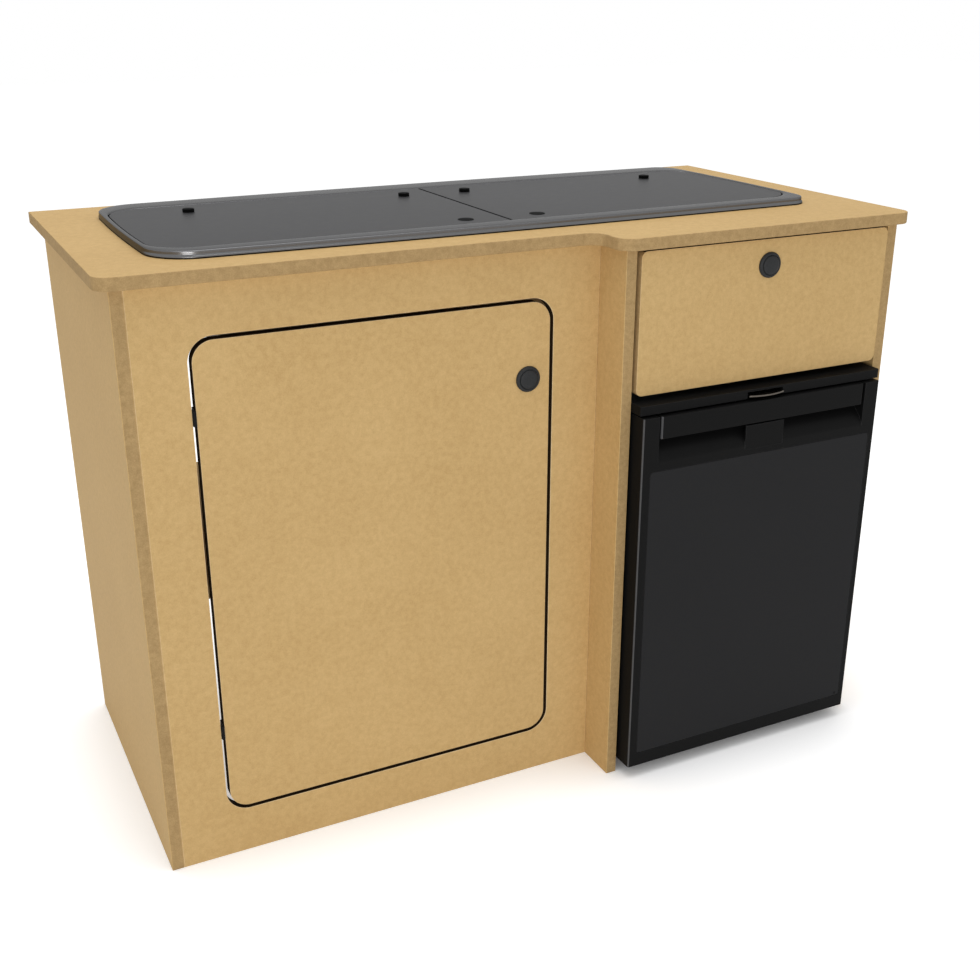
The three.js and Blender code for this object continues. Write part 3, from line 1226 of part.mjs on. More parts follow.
// Base plate: it stands on four feet between the bay's panels, carries the cabinet, and runs
// forward as the bracket of the door's lower hinge pin
function basePlate() {
  const low = FRIDGE_DOOR_LOW - BASE_SHEET;
  const plate = block(bayLeft, bayRight, cabinetFront, fridgeBack, low, FRIDGE_DOOR_LOW);
  const feet = [cabinetFront + FOOT_SETBACK, fridgeBack - FOOT_SETBACK].flatMap((y) => {
    return [fridgeLeft + FOOT_INSET, fridgeRight - FOOT_INSET].map((x) => {
      return rod(FOOT_RADIUS, 0, FRIDGE_DOOR_LOW - BASE_SHEET / 2).translate(x, y, 0);
    });
  });
  const half = FRIDGE_BRACKET_WIDTH / 2;
  const ends = [fridgePinY - half, cabinetFront + FRIDGE_BRACKET_WIDTH];
  const bracket = block(fridgePinX - half, fridgePinX + half, ...ends, low, FRIDGE_DOOR_LOW - FIT);
  const pin = rod(FRIDGE_PIN_RADIUS, low, FRIDGE_DOOR_LOW + FRIDGE_PIN_BITE);
  return join(plate, ...feet, bracket, pin.translate(fridgePinX, fridgePinY, 0));
}

piece(fridge, 'fridge_base_plate', basePlate(), BLACK_METAL);

// Fridge door: shell with a grip recess, a bare badge block, a lighter panel, a grip bar, a seal
// and a liner with two bottle racks
const recessLow = fridgeDoorHigh - RECESS_FROM_TOP;
const recessFloor = fridgeFace + RECESS_DEPTH;
const panelSides = [fridgeLeft + PANEL_SIDE, fridgeRight - PANEL_RIGHT_SIDE];
const panelHeights = [FRIDGE_DOOR_LOW + PANEL_LOW, fridgeDoorHigh - PANEL_FROM_TOP];

function panelShape(grow) {
  const [x0, x1] = panelSides;
  const [z0, z1] = panelHeights;
  return roundedPath(THREE.Shape, x0 - grow, x1 + grow, z0 - grow, z1 + grow, PANEL_CORNER + grow);
}

function doorShell() {
  const sides = [fridgeLeft, fridgeRight, fridgeFace, fridgeDoorBack, DOOR_EDGE];
  const body = slab(roundedPath(THREE.Shape, ...sides), FRIDGE_DOOR_LOW, fridgeDoorHigh);
  const recess = block(fridgeLeft + RECESS_SIDE, fridgeRight - RECESS_SIDE,
    fridgeFace - OVERRUN, recessFloor, recessLow, fridgeDoorHigh + OVERRUN);
  const half = BADGE_WIDTH / 2;
  const badge = block(fridgeMiddle - half, fridgeMiddle + half, fridgeFace, recessFloor + OVERRUN,
    recessLow - OVERRUN, fridgeDoorHigh - BADGE_FROM_TOP);
  const panelSpace = upright(panelShape(PANEL_GAP), fridgeFace - OVERRUN, fridgeFace + PANEL_THICK + FIT);
  const bite = FRIDGE_PIN_BITE + FIT;
  const topHole = fridgePinHole(fridgePinX, fridgeDoorHigh - bite, fridgeDoorHigh + OVERRUN);
  const lowHole = fridgePinHole(fridgePinX, FRIDGE_DOOR_LOW - OVERRUN, FRIDGE_DOOR_LOW + bite);
  return cut(join(cut(body, recess), badge), panelSpace, topHole, lowHole);
}

function handleBar() {
  const [x0, x1] = [fridgeLeft + BAR_SIDE, fridgeRight - BAR_SIDE];
  const low = fridgeDoorHigh - BAR_HEIGHT;
  const barBack = fridgeFace + BAR_THICK;
  const outline = roundedPath(THREE.Shape, x0, x1, fridgeFace, barBack, DOOR_EDGE);
  const bar = slab(outline, low, fridgeDoorHigh);
  const ends = [fridgeFace + BAR_THICK / 2, recessFloor - FIT, low, fridgeDoorHigh];
  const leftFoot = block(x0 + DOOR_EDGE, x0 + BAR_FOOT_WIDTH, ...ends);
  const rightFoot = block(x1 - BAR_FOOT_WIDTH, x1 - DOOR_EDGE, ...ends);
  return join(bar, leftFoot, rightFoot);
}

function doorSeal() {
  const sides = [fridgeLeft, fridgeRight, FRIDGE_DOOR_LOW, fridgeDoorHigh];
  const inset = (amount) => sides.map((side, index) => side + (index % 2 === 0 ? amount : -amount));
  const outer = roundedPath(THREE.Shape, ...inset(GASKET_INSET), GASKET_WIDTH);
  outer.holes.push(roundedPath(THREE.Path, ...inset(GASKET_INSET + GASKET_WIDTH), GASKET_WIDTH / 2));
  return upright(outer, fridgeDoorBack, cabinetFront - FIT);
}

// A rack is a trough with a floor, a front wall and two end walls; the lower one is the deeper
function bottleRack(low, depth) {
  const [x0, x1] = [fridgeLeft + LINER_INSET + RACK_INSET, fridgeRight - LINER_INSET - RACK_INSET];
  const [near, far] = [fridgeDoorBack, fridgeDoorBack + LINER_SHEET + depth];
  const outer = block(x0, x1, near, far, low, low + RACK_HEIGHT);
  const wall = RACK_WALL;
  const inside = [x0 + wall, x1 - wall, near + LINER_SHEET, far - wall];
  const space = block(...inside, low + wall, low + RACK_HEIGHT + OVERRUN);
  return cut(outer, space);
}

function doorLiner() {
  const sides = [fridgeLeft + LINER_INSET, fridgeRight - LINER_INSET];
  const heights = [FRIDGE_DOOR_LOW + LINER_INSET, fridgeDoorHigh - LINER_INSET];
  const sheet = block(...sides, fridgeDoorBack, fridgeDoorBack + LINER_SHEET, ...heights);
  const upper = bottleRack(fridgeLevel(upperRackShare), UPPER_RACK_DEPTH);
  const lower = bottleRack(LOWER_RACK_LOW, LOWER_RACK_DEPTH);
  return join(sheet, upper, lower);
}

piece(fridge, 'fridge_door_shell', doorShell(), GREY_PLASTIC);
const doorPanel = upright(panelShape(0), fridgeFace, fridgeFace + PANEL_THICK);
piece(fridge, 'fridge_door_panel', doorPanel, BLACK_PLASTIC);
piece(fridge, 'fridge_handle_bar', handleBar(), GREY_PLASTIC);
piece(fridge, 'fridge_door_seal', doorSeal(), RUBBER);
piece(fridge, 'fridge_door_liner', doorLiner(), WHITE_PLASTIC);

// Cooling unit: a compressor pot and a finned condenser on one plate in the cabinet's rear notch
const coolingLow = notchLow + FIT;
const potX = fridgeLeft + POT_FROM_LEFT;
const potY = fridgeBack - POT_FROM_BACK;
const condenserRight = fridgeRight - CONDENSER_FROM_RIGHT;

function compressorPot() {
  const [radius, shoulder, high] = [POT_RADIUS, POT_SHOULDER, POT_HEIGHT];
  const profile = [[0, 0], [radius - shoulder / 2, 0], [radius, shoulder / 2], [radius, high - shoulder]];
  profile.push([radius - shoulder, high], [0, high]);
  return turned(profile).translate(potX, potY, coolingLow);
}

function condenser() {
  const [x0, x1] = [condenserRight - CONDENSER_WIDTH, condenserRight];
  const y1 = fridgeBack - CONDENSER_FROM_BACK;
  const y0 = y1 - CONDENSER_DEPTH;
  const [low, high] = [coolingLow, coolingLow + CONDENSER_HEIGHT];
  const middle = (y0 + y1) / 2;
  const core = block(x0, x1, middle - CONDENSER_CORE / 2, middle + CONDENSER_CORE / 2, low, high);
  const pitch = (CONDENSER_WIDTH - FIN) / (FIN_COUNT - 1);
  const fins = Array.from({ length: FIN_COUNT }, (_, index) => {
    const x = x0 + index * pitch;
    return block(x, x + FIN, y0, y1, low, high);
  });
  return join(core, ...fins);
}

function coolingPlate() {
  const ends = [potY - POT_RADIUS, potY + POT_RADIUS];
  return block(potX - POT_RADIUS, condenserRight, ...ends, coolingLow, coolingLow + BASE_SHEET);
}

piece(fridge, 'cooling_unit', join(compressorPot(), condenser(), coolingPlate()), BLACK_METAL);

// The pod's own origin: on the floor under the middle of its whole outline
const latchFront = trimFront - LATCH_NOSE - LATCH_CROWN;
pod.position.set(-(worktopLeft + worktopRight) / 2, -(latchFront + CASE_DEPTH) / 2, 0);

export default pod;
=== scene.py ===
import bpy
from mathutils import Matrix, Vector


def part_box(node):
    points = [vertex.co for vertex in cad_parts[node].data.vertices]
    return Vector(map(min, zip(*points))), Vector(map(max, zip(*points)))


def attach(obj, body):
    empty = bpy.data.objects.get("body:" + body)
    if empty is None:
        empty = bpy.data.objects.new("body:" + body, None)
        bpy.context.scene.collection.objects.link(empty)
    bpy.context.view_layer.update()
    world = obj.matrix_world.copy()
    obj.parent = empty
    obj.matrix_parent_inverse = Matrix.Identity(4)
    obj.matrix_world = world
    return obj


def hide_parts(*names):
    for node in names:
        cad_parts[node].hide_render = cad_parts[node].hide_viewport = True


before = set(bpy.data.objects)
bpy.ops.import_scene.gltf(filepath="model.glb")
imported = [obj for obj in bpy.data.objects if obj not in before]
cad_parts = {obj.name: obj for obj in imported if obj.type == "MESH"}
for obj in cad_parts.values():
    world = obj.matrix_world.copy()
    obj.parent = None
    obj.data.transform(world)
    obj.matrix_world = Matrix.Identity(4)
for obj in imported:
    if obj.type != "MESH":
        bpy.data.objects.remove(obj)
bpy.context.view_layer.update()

import math

import bmesh
import bpy
from mathutils import Vector

# Camera. The picture was taken from the left and above, some 1.3 m in front of the pod, and
# places below are counted in millimetres from the left panel's front foot.
POD_MIDDLE = Vector((506.5, 177.5, 0))
CAMERA_PLACE = (-220.741, -1339.182, 1030.064)
CAMERA_TURN = (1.19192857, 0.00001254, -0.46029808)
LENS = 46.5567
SENSOR = 36
NEAR_CLIP = 0.01


def place(x, y, z):
    """A point of the pod, from millimetres to the row frame's metres."""
    return (Vector((x, y, z)) - POD_MIDDLE) / 1000


camera = bpy.data.objects.new("camera", bpy.data.cameras.new("camera"))
bpy.context.scene.collection.objects.link(camera)
bpy.context.scene.camera = camera
camera.location = place(*CAMERA_PLACE)
camera.rotation_euler = CAMERA_TURN
camera.data.sensor_width = SENSOR
camera.data.lens = LENS
camera.data.clip_start = NEAR_CLIP

# Room. A seamless white studio: an even white sky, a broad lamp above that makes the tops
# brightest, one far off in front at the left that lights the fronts, and a white floor that
# glows a little, as a lit backdrop does, but for a soft shade close to the pod's foot.
SKY_LIGHT = 0.52
FLOOR_WHITE = 0.93
FLOOR_LIFT = 0.53
SHADE_REACH = 130
SHADE_SAMPLES = 16
FLOOR_HALF = 14
LIT_POINT = (450, 200, 400)
LAMPS = {
    "top_lamp": ((250, 0, 3500), 52, 2.6),
    "front_lamp": ((-1500, -4400, 420), 92, 2.0),
}
bpy.context.scene.view_settings.view_transform = "Standard"


def mm(length):
    """Millimetres as metres."""
    return length / 1000


def color(red, green, blue):
    """A colour seen as these 0 to 255 values, as the linear light that it is."""
    def linear(value):
        share = value / 255
        return share / 12.92 if share <= 0.04045 else ((share + 0.055) / 1.055) ** 2.4
    return (linear(red), linear(green), linear(blue), 1.0)


def maths(tree, operation, first, second):
    """Two values, or a value and a number, put together by one operation."""
    node = tree.nodes.new("ShaderNodeMath")
    node.operation = operation
    for socket, value in zip(node.inputs, (first, second)):
        if isinstance(value, (int, float)):
            socket.default_value = value
        else:
            tree.links.new(value, socket)
    return node.outputs[0]


def ranged(tree, source, low, high, to_low=0, to_high=1):
    """A value stretched from one range to another, as the next node needs it."""
    node = tree.nodes.new("ShaderNodeMapRange")
    node.inputs["From Min"].default_value = low
    node.inputs["From Max"].default_value = high
    node.inputs["To Min"].default_value = to_low
    node.inputs["To Max"].default_value = to_high
    tree.links.new(source, node.inputs["Value"])
    return node.outputs["Result"]


def seen_rays(tree):
    """1 for rays that show the room: from the camera, off gloss and through glass."""
    rays = tree.nodes.new("ShaderNodeLightPath").outputs
    seen = maths(tree, "MAXIMUM", rays["Is Camera Ray"], rays["Is Glossy Ray"])
    return maths(tree, "MAXIMUM", seen, rays["Is Transmission Ray"])


sky = bpy.data.worlds.new("studio_sky")
bpy.context.scene.world = sky
sky.use_nodes = True
sky_tree = sky.node_tree
background = sky_tree.nodes["Background"]
background.inputs["Color"].default_value = (1, 1, 1, 1)
strength = ranged(sky_tree, seen_rays(sky_tree), 0, 1, SKY_LIGHT, 1)
sky_tree.links.new(strength, background.inputs["Strength"])

bpy.ops.object.select_all(action="DESELECT")
bpy.ops.mesh.primitive_plane_add(size=2 * FLOOR_HALF)
floor = bpy.context.object
floor.name = "floor"
floor_paint = bpy.data.materials.new("floor_white")
floor_paint.use_nodes = True
floor_nodes = floor_paint.node_tree.nodes
floor_links = floor_paint.node_tree.links
floor_nodes.clear()
floor_matt = floor_nodes.new("ShaderNodeBsdfDiffuse")
floor_matt.inputs["Color"].default_value = (FLOOR_WHITE, FLOOR_WHITE, FLOOR_WHITE, 1)
floor_glow = floor_nodes.new("ShaderNodeEmission")
foot_shade = floor_nodes.new("ShaderNodeAmbientOcclusion")
foot_shade.samples = SHADE_SAMPLES
foot_shade.inputs["Distance"].default_value = mm(SHADE_REACH)
foot_shade.inputs["Color"].default_value = (FLOOR_LIFT, FLOOR_LIFT, FLOOR_LIFT, 1)
floor_sum = floor_nodes.new("ShaderNodeAddShader")
floor_end = floor_nodes.new("ShaderNodeOutputMaterial")
floor_links.new(foot_shade.outputs["Color"], floor_glow.inputs["Color"])
floor_links.new(seen_rays(floor_paint.node_tree), floor_glow.inputs["Strength"])
floor_links.new(floor_matt.outputs[0], floor_sum.inputs[0])
floor_links.new(floor_glow.outputs[0], floor_sum.inputs[1])
floor_links.new(floor_sum.outputs[0], floor_end.inputs["Surface"])
floor.data.materials.append(floor_paint)

for name, (spot, power, size) in LAMPS.items():
    lamp = bpy.data.objects.new(name, bpy.data.lights.new(name, "AREA"))
    bpy.context.scene.collection.objects.link(lamp)
    lamp.data.energy = power
    lamp.data.size = size
    lamp.location = place(*spot)
    aim = place(*LIT_POINT) - lamp.location
    lamp.rotation_euler = aim.to_track_quat("-Z", "Y").to_euler()

# Boards. The carcass is 15 mm bare fibreboard: two end panels, a front panel with a cut-out
# for the door, a divider between cupboard and fridge bay. The boards are sawn and routed,
# their faces are smooth and mottled, their cut edges browner, their arrises lightly sanded.
BOARD = 15
LEFT_FACE = 0
RIGHT_FACE = 1018
BACK = 444
BAY_FRONT = -60
UNDER_TOP = 738
DIVIDER = 596
OPENING = (76, 531, 62, 676)
OPENING_ROUND = 30
NOTCH = (69.3, 344.7, 725.8)
ARRIS = 0.7
FACE_TONES = color(189, 155, 101), color(211, 179, 125)
EDGE_TONES = color(153, 125, 83), color(189, 159, 112)
# Near-black edges: a painted shade for the gaps round the door and under the worktop.
GAP_SHADE_TONES = color(44, 33, 21), color(64, 49, 32)
ARRIS_TONES = color(206, 176, 127), color(228, 202, 158)
FIBRES = (700, 160, 7)
MOTTLE_RANGE = (0.3, 0.7)
MOTTLE_SHARES = (0.4, 0.4, 0.2)
# Lighter outer edges: wear on metal and plastic, a painted highlight on the fridge's black.
WEAR_AND_SHEEN_WIDTH = 1.2
WEAR_AND_SHEEN_SAMPLES = 6
WEAR_AND_SHEEN_RANGE = (0.98, 0.8)
FLAT = 0.97
STEEP = 0.2


def new_group(name, inputs, outputs):
    """An empty shader group with named inputs (name, kind, value) and outputs (name, kind)."""
    tree = bpy.data.node_groups.new(name, "ShaderNodeTree")
    for label, kind, value in inputs:
        socket = tree.interface.new_socket(name=label, in_out="INPUT", socket_type=kind)
        socket.default_value = value
    for label, kind in outputs:
        tree.interface.new_socket(name=label, in_out="OUTPUT", socket_type=kind)
    return tree, tree.nodes.new("NodeGroupInput"), tree.nodes.new("NodeGroupOutput")


def grain_group():
    """Mottle in three sizes, as pressed fibres or moulded grain show it, all round the piece."""
    labels = ("Fine Scale", "Patch Scale", "Cloud Scale")
    inputs = [(label, "NodeSocketFloat", scale) for label, scale in zip(labels, FIBRES)]
    outputs = [("Mottle", "NodeSocketFloat"), ("Height", "NodeSocketFloat")]
    tree, start, end = new_group("grain", inputs, outputs)
    where = tree.nodes.new("ShaderNodeTexCoord")
    layers = []
    for label, detail in zip(labels, (3, 2, 2)):
        noise = tree.nodes.new("ShaderNodeTexNoise")
        noise.inputs["Detail"].default_value = detail
        tree.links.new(where.outputs["Object"], noise.inputs["Vector"])
        tree.links.new(start.outputs[label], noise.inputs["Scale"])
        layers.append(ranged(tree, noise.outputs["Fac"], *MOTTLE_RANGE))
    small, middle, large = (
        maths(tree, "MULTIPLY", layer, share) for layer, share in zip(layers, MOTTLE_SHARES)
    )
    both = maths(tree, "ADD", small, middle)
    tree.links.new(maths(tree, "ADD", both, large), end.inputs["Mottle"])
    tree.links.new(layers[0], end.inputs["Height"])
    return tree


def edge_group():
    """A mask of a piece's outer edges, which the materials turn lighter: wear from handling on the
    metal and plastic parts, a painted highlight on the fridge's black.
    """
    inputs = [("Width", "NodeSocketFloat", mm(WEAR_AND_SHEEN_WIDTH))]
    tree, start, end = new_group("edges", inputs, [("Mask", "NodeSocketFloat")])
    rounded = tree.nodes.new("ShaderNodeBevel")
    rounded.samples = WEAR_AND_SHEEN_SAMPLES
    tree.links.new(start.outputs["Width"], rounded.inputs["Radius"])
    true = tree.nodes.new("ShaderNodeNewGeometry")
    along = tree.nodes.new("ShaderNodeVectorMath")
    along.operation = "DOT_PRODUCT"
    tree.links.new(rounded.outputs["Normal"], along.inputs[0])
    tree.links.new(true.outputs["Normal"], along.inputs[1])
    tree.links.new(ranged(tree, along.outputs["Value"], *WEAR_AND_SHEEN_RANGE), end.inputs["Mask"])
    return tree


grain = grain_group()
edges = edge_group()


def grained(
    name, tones, rough, metallic=0.0, scales=FIBRES, bump=0.1, depth=0.1, edge=None, gloss=0.5
):
    """A material with the grain in its colour, relief and roughness. Where edge gives a colour
    and a share, the outer edges turn to that colour by that share."""
    material = bpy.data.materials.new(name)
    material.use_nodes = True
    tree = material.node_tree
    shader = tree.nodes["Principled BSDF"]
    shader.inputs["Metallic"].default_value = metallic
    shader.inputs["Specular IOR Level"].default_value = gloss
    mottle = tree.nodes.new("ShaderNodeGroup")
    mottle.node_tree = grain
    for label, value in zip(("Fine Scale", "Patch Scale", "Cloud Scale"), scales):
        mottle.inputs[label].default_value = value
    mixed = tree.nodes.new("ShaderNodeMix")
    mixed.data_type = "RGBA"
    mixed.inputs["A"].default_value, mixed.inputs["B"].default_value = tones
    tree.links.new(mottle.outputs["Mottle"], mixed.inputs["Factor"])
    tint = mixed.outputs["Result"]
    if edge:
        wear_and_sheen = tree.nodes.new("ShaderNodeGroup")
        wear_and_sheen.node_tree = edges
        share = maths(tree, "MULTIPLY", wear_and_sheen.outputs["Mask"], edge[1])
        lighter = tree.nodes.new("ShaderNodeMix")
        lighter.data_type = "RGBA"
        lighter.inputs["B"].default_value = edge[0]
        tree.links.new(share, lighter.inputs["Factor"])
        tree.links.new(tint, lighter.inputs["A"])
        tint = lighter.outputs["Result"]
    tree.links.new(tint, shader.inputs["Base Color"])
    roughness = ranged(tree, mottle.outputs["Mottle"], 0, 1, rough[0], rough[1])
    tree.links.new(roughness, shader.inputs["Roughness"])
    relief = tree.nodes.new("ShaderNodeBump")
    relief.inputs["Strength"].default_value = bump
    relief.inputs["Distance"].default_value = mm(depth)
    tree.links.new(mottle.outputs["Height"], relief.inputs["Height"])
    tree.links.new(relief.outputs["Normal"], shader.inputs["Normal"])
    return material


board_face = grained("fibreboard_face", FACE_TONES, (0.62, 0.74), gloss=0.15)
board_edge = grained("fibreboard_edge", EDGE_TONES, (0.8, 0.92), bump=0.3, depth=0.25, gloss=0.2)
board_arris = grained("fibreboard_arris", ARRIS_TONES, (0.7, 0.85), gloss=0.2)
board_gap_shade = grained("fibreboard_gap_shade", GAP_SHADE_TONES, (0.85, 0.95), bump=0.3, gloss=0.05)


def named(name):
    """The shape just added, with its name on it and on its mesh."""
    piece = bpy.context.object
    piece.name = name
    piece.data.name = name
    return piece


def block(name, low, high):
    """A cube of the piece's outer size, at its place, with that place in its mesh."""
    bpy.ops.object.select_all(action="DESELECT")
    near, far = place(*low), place(*high)
    bpy.ops.mesh.primitive_cube_add(size=1, location=(near + far) / 2)
    piece = named(name)
    piece.scale = far - near
    bpy.ops.object.transform_apply(location=True, rotation=False, scale=True)
    return piece


def only(piece):
    """Selects one piece alone and makes it the active one."""
    bpy.ops.object.select_all(action="DESELECT")
    piece.select_set(True)
    bpy.context.view_layer.objects.active = piece


def select_edges(piece, chosen):
    """Opens the piece for editing with only the chosen edges selected."""
    only(piece)
    bpy.ops.object.mode_set(mode="EDIT")
    bpy.ops.mesh.select_mode(type="EDGE")
    bpy.ops.mesh.select_all(action="DESELECT")
    cage = bmesh.from_edit_mesh(piece.data)
    for edge in cage.edges:
        if chosen(edge):
            edge.select_set(True)
    bmesh.update_edit_mesh(piece.data)


def runs_along(edge, axis):
    """True if the edge runs along axis 0, 1 or 2."""
    run = edge.verts[1].co - edge.verts[0].co
    return abs(run[axis]) > 0.999 * run.length


def round_corners(piece, axis, radius, steps=16, near=None):
    """Rounds the edges that run along an axis, all of them or those that near picks."""
    select_edges(piece, lambda edge: runs_along(edge, axis) and (near is None or near(edge)))
    bpy.ops.mesh.bevel(offset=mm(radius), segments=steps, profile=0.5, clamp_overlap=True)
    bpy.ops.object.mode_set(mode="OBJECT")


def apply_modifier(piece, kind, **settings):
    """Adds one modifier with its settings and applies it."""
    only(piece)
    modifier = piece.modifiers.new(kind.lower(), kind)
    for label, value in settings.items():
        setattr(modifier, label, value)
    bpy.ops.object.modifier_apply(modifier=modifier.name)


def cut(piece, *tools):
    """Cuts each tool out of the piece, and removes the tool."""
    for tool in tools:
        apply_modifier(piece, "BOOLEAN", operation="DIFFERENCE", object=tool, solver="EXACT")
        bpy.data.objects.remove(tool)


def ease(piece, radius, steps=3, angle=50):
    """A fine round on every sharp edge, and smooth shading that keeps the flats flat."""
    limit = math.radians(angle)
    apply_modifier(
        piece, "BEVEL", width=mm(radius), segments=steps, limit_method="ANGLE", angle_limit=limit
    )
    bpy.ops.object.shade_smooth_by_angle(angle=limit)
    apply_modifier(piece, "WEIGHTED_NORMAL", keep_sharp=True, weight=60)


def paint(piece, *materials):
    """Gives the piece its materials, in their order."""
    piece.data.materials.clear()
    for material in materials:
        piece.data.materials.append(material)


def face_boards(piece, axis, gap_shaded=lambda side: False, arris=0):
    """Gives a board its face and edge finish by the way each of its surfaces lies, and a near-black
    painted shade, much darker than routed fibreboard, to the edges that the third argument picks;
    arris is its arrises' slot."""
    paint(piece, board_face, board_edge, board_arris, board_gap_shade)
    for side in piece.data.polygons:
        lean = abs(side.normal[axis])
        edge = 3 if gap_shaded(side) else 1
        side.material_index = 0 if lean > FLAT else edge if lean < STEEP else arris


def mount(piece, body, slot, *nodes):
    """The finished piece moves with a body and stands for plain solids; its slot is not used."""
    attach(piece, body)
    if nodes:
        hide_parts(*nodes)


left_end = block("left_end_board", (LEFT_FACE, 0, 0), (LEFT_FACE + BOARD, BACK, UNDER_TOP))
ease(left_end, ARRIS)
face_boards(left_end, 0)
mount(left_end, "cabinet", "fibreboard", "left_end_panel")

right_low = (RIGHT_FACE - BOARD, BAY_FRONT, 0)
right_end = block("right_end_board", right_low, (RIGHT_FACE, BACK, UNDER_TOP))
ease(right_end, ARRIS)
face_boards(right_end, 0)
mount(right_end, "cabinet", "fibreboard", "right_end_panel")

divider = block("divider_board", (DIVIDER, BAY_FRONT, 0), (DIVIDER + BOARD, BACK, UNDER_TOP))
notch_low = (DIVIDER - BOARD, NOTCH[0], NOTCH[2])
cut(divider, block("notch", notch_low, (DIVIDER + 2 * BOARD, NOTCH[1], UNDER_TOP + BOARD)))
ease(divider, ARRIS)
face_boards(divider, 0)
mount(divider, "cabinet", "fibreboard", "divider_panel")

front = block("front_board", (LEFT_FACE + BOARD, 0, 0), (DIVIDER, BOARD, UNDER_TOP))
opening = block("opening", (OPENING[0], -BOARD, OPENING[2]), (OPENING[1], 2 * BOARD, OPENING[3]))
round_corners(opening, 1, OPENING_ROUND, 24)
cut(front, opening)
ease(front, ARRIS)
gap_shade_low = place(OPENING[0] - 1, 0, OPENING[2] - 1)
gap_shade_high = place(OPENING[1] + 1, 0, OPENING[3] + 1)


def in_opening(side):
    """True for the sides that the router cut round the opening, which take the near-black painted
    shade of the gap.
    """
    return all(gap_shade_low[axis] < side.center[axis] < gap_shade_high[axis] for axis in (0, 2))


face_boards(front, 1, in_opening, 2)
mount(front, "cabinet", "fibreboard", "front_panel")

# Worktop. One fibreboard top on the panels, deeper over the fridge bay, with an S in its
# front edge where the depth changes and a round-cornered cut-out for the hob and sink unit.
TOP_HIGH = 753
TOP_LEFT = -16.5
TOP_RIGHT = 1029.5
TOP_FRONT = -18.5
TOP_BAY_FRONT = -76.5
TOP_STEP = 581
TOP_ROUND = 20
CUT_OUT = (68.8, 939.2, 69.3, 344.7)
CUT_OUT_ROUND = 30
TOP_ARRIS = 1.3

worktop = block("worktop_board", (TOP_LEFT, TOP_BAY_FRONT, UNDER_TOP), (TOP_RIGHT, BACK, TOP_HIGH))
spare_low = (TOP_LEFT - BOARD, TOP_BAY_FRONT - BOARD, UNDER_TOP - BOARD)
spare = block("spare", spare_low, (TOP_STEP, TOP_FRONT, TOP_HIGH + BOARD))
step_corner = place(TOP_STEP, TOP_FRONT, 0)
fillet_low = place(TOP_STEP - TOP_ROUND - 1, TOP_FRONT - TOP_ROUND - 1, 0)
fillet_high = place(TOP_STEP + 1, TOP_FRONT + 1, 0)
back_line = place(0, BACK - BOARD, 0).y


def at_step(edge):
    """True for the spare piece's edge in the step's inner corner."""
    return (edge.verts[0].co - step_corner).xy.length < mm(1)


def outer_corner(edge):
    """True for the top's front corners, but not for the fillet that is already in the step."""
    spot = edge.verts[0].co
    in_fillet = all(fillet_low[axis] < spot[axis] < fillet_high[axis] for axis in (0, 1))
    return spot.y < back_line and not in_fillet


round_corners(spare, 2, TOP_ROUND, near=at_step)
cut(worktop, spare)
round_corners(worktop, 2, TOP_ROUND, near=outer_corner)
hole_low = (CUT_OUT[0], CUT_OUT[2], UNDER_TOP - BOARD)
hole = block("hole", hole_low, (CUT_OUT[1], CUT_OUT[3], TOP_HIGH + BOARD))
round_corners(hole, 2, CUT_OUT_ROUND)
cut(worktop, hole)
ease(worktop, TOP_ARRIS, 4)
face_boards(worktop, 2, arris=1)
mount(worktop, "cabinet", "fibreboard", "worktop")

# Shelf and its battens. A fibreboard shelf lies on a frame of planed softwood battens that is
# glued and pinned to the panels, and two fibreboard rails stiffen the open back.
SHELF = (354.5, 369.5)
WELD = 0.005
FLAT_TURN = 0.5
TIMBER_TONES = color(176, 134, 84), color(222, 188, 138)
timber = grained("planed_softwood", TIMBER_TONES, (0.55, 0.7), scales=(400, 60, 12))


def copy_of(node, name, radius=0.3, steps=2, angle=45):
    """A merged copy of a plain solid, its flats made whole, its sharp edges eased."""
    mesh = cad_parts[node].data.copy()
    mesh.materials.clear()
    mesh.name = name
    piece = bpy.data.objects.new(name, mesh)
    bpy.context.scene.collection.objects.link(piece)
    only(piece)
    bpy.ops.mesh.customdata_custom_splitnormals_clear()
    bpy.ops.object.mode_set(mode="EDIT")
    bpy.ops.mesh.select_all(action="SELECT")
    bpy.ops.mesh.remove_doubles(threshold=mm(WELD))
    bpy.ops.mesh.dissolve_limited(angle_limit=math.radians(FLAT_TURN))
    bpy.ops.object.mode_set(mode="OBJECT")
    ease(piece, radius, steps, angle)
    return piece


def dressed(node, name, material, body, slot, radius=0.3, steps=2, angle=45):
    """Mounts a copy of one plain solid in one material."""
    piece = copy_of(node, name, radius, steps, angle)
    paint(piece, material)
    mount(piece, body, slot, node)


shelf = block("shelf_board", (BOARD, BOARD + 1, SHELF[0]), (DIVIDER, BACK, SHELF[1]))
ease(shelf, ARRIS)
face_boards(shelf, 2)
mount(shelf, "cabinet", "fibreboard", "cupboard_shelf")
dressed("shelf_frame", "shelf_battens", timber, "cabinet", "timber", 0.8)

for node in ("cupboard_rear_rail", "bay_rear_rail"):
    rail = copy_of(node, node + "_board", ARRIS)
    face_boards(rail, 1)
    mount(rail, "cabinet", "fibreboard", node)

# Cupboard door. A fibreboard leaf with rounded corners, flush in the cut-out with an even gap,
# its edges painted near-black, much darker than routed fibreboard, as painted shade in the gap,
# with a bored hole for the lock near its free side.
DOOR = (80.6, 526.4, 66.6, 671.4)
DOOR_ROUND = 25.4
LOCK = (495.8, 574.7)
LOCK_HOLE = 14.3
CIRCLE = 96
POLE_WELD = 0.003
FRONT_ARRIS = 1.0


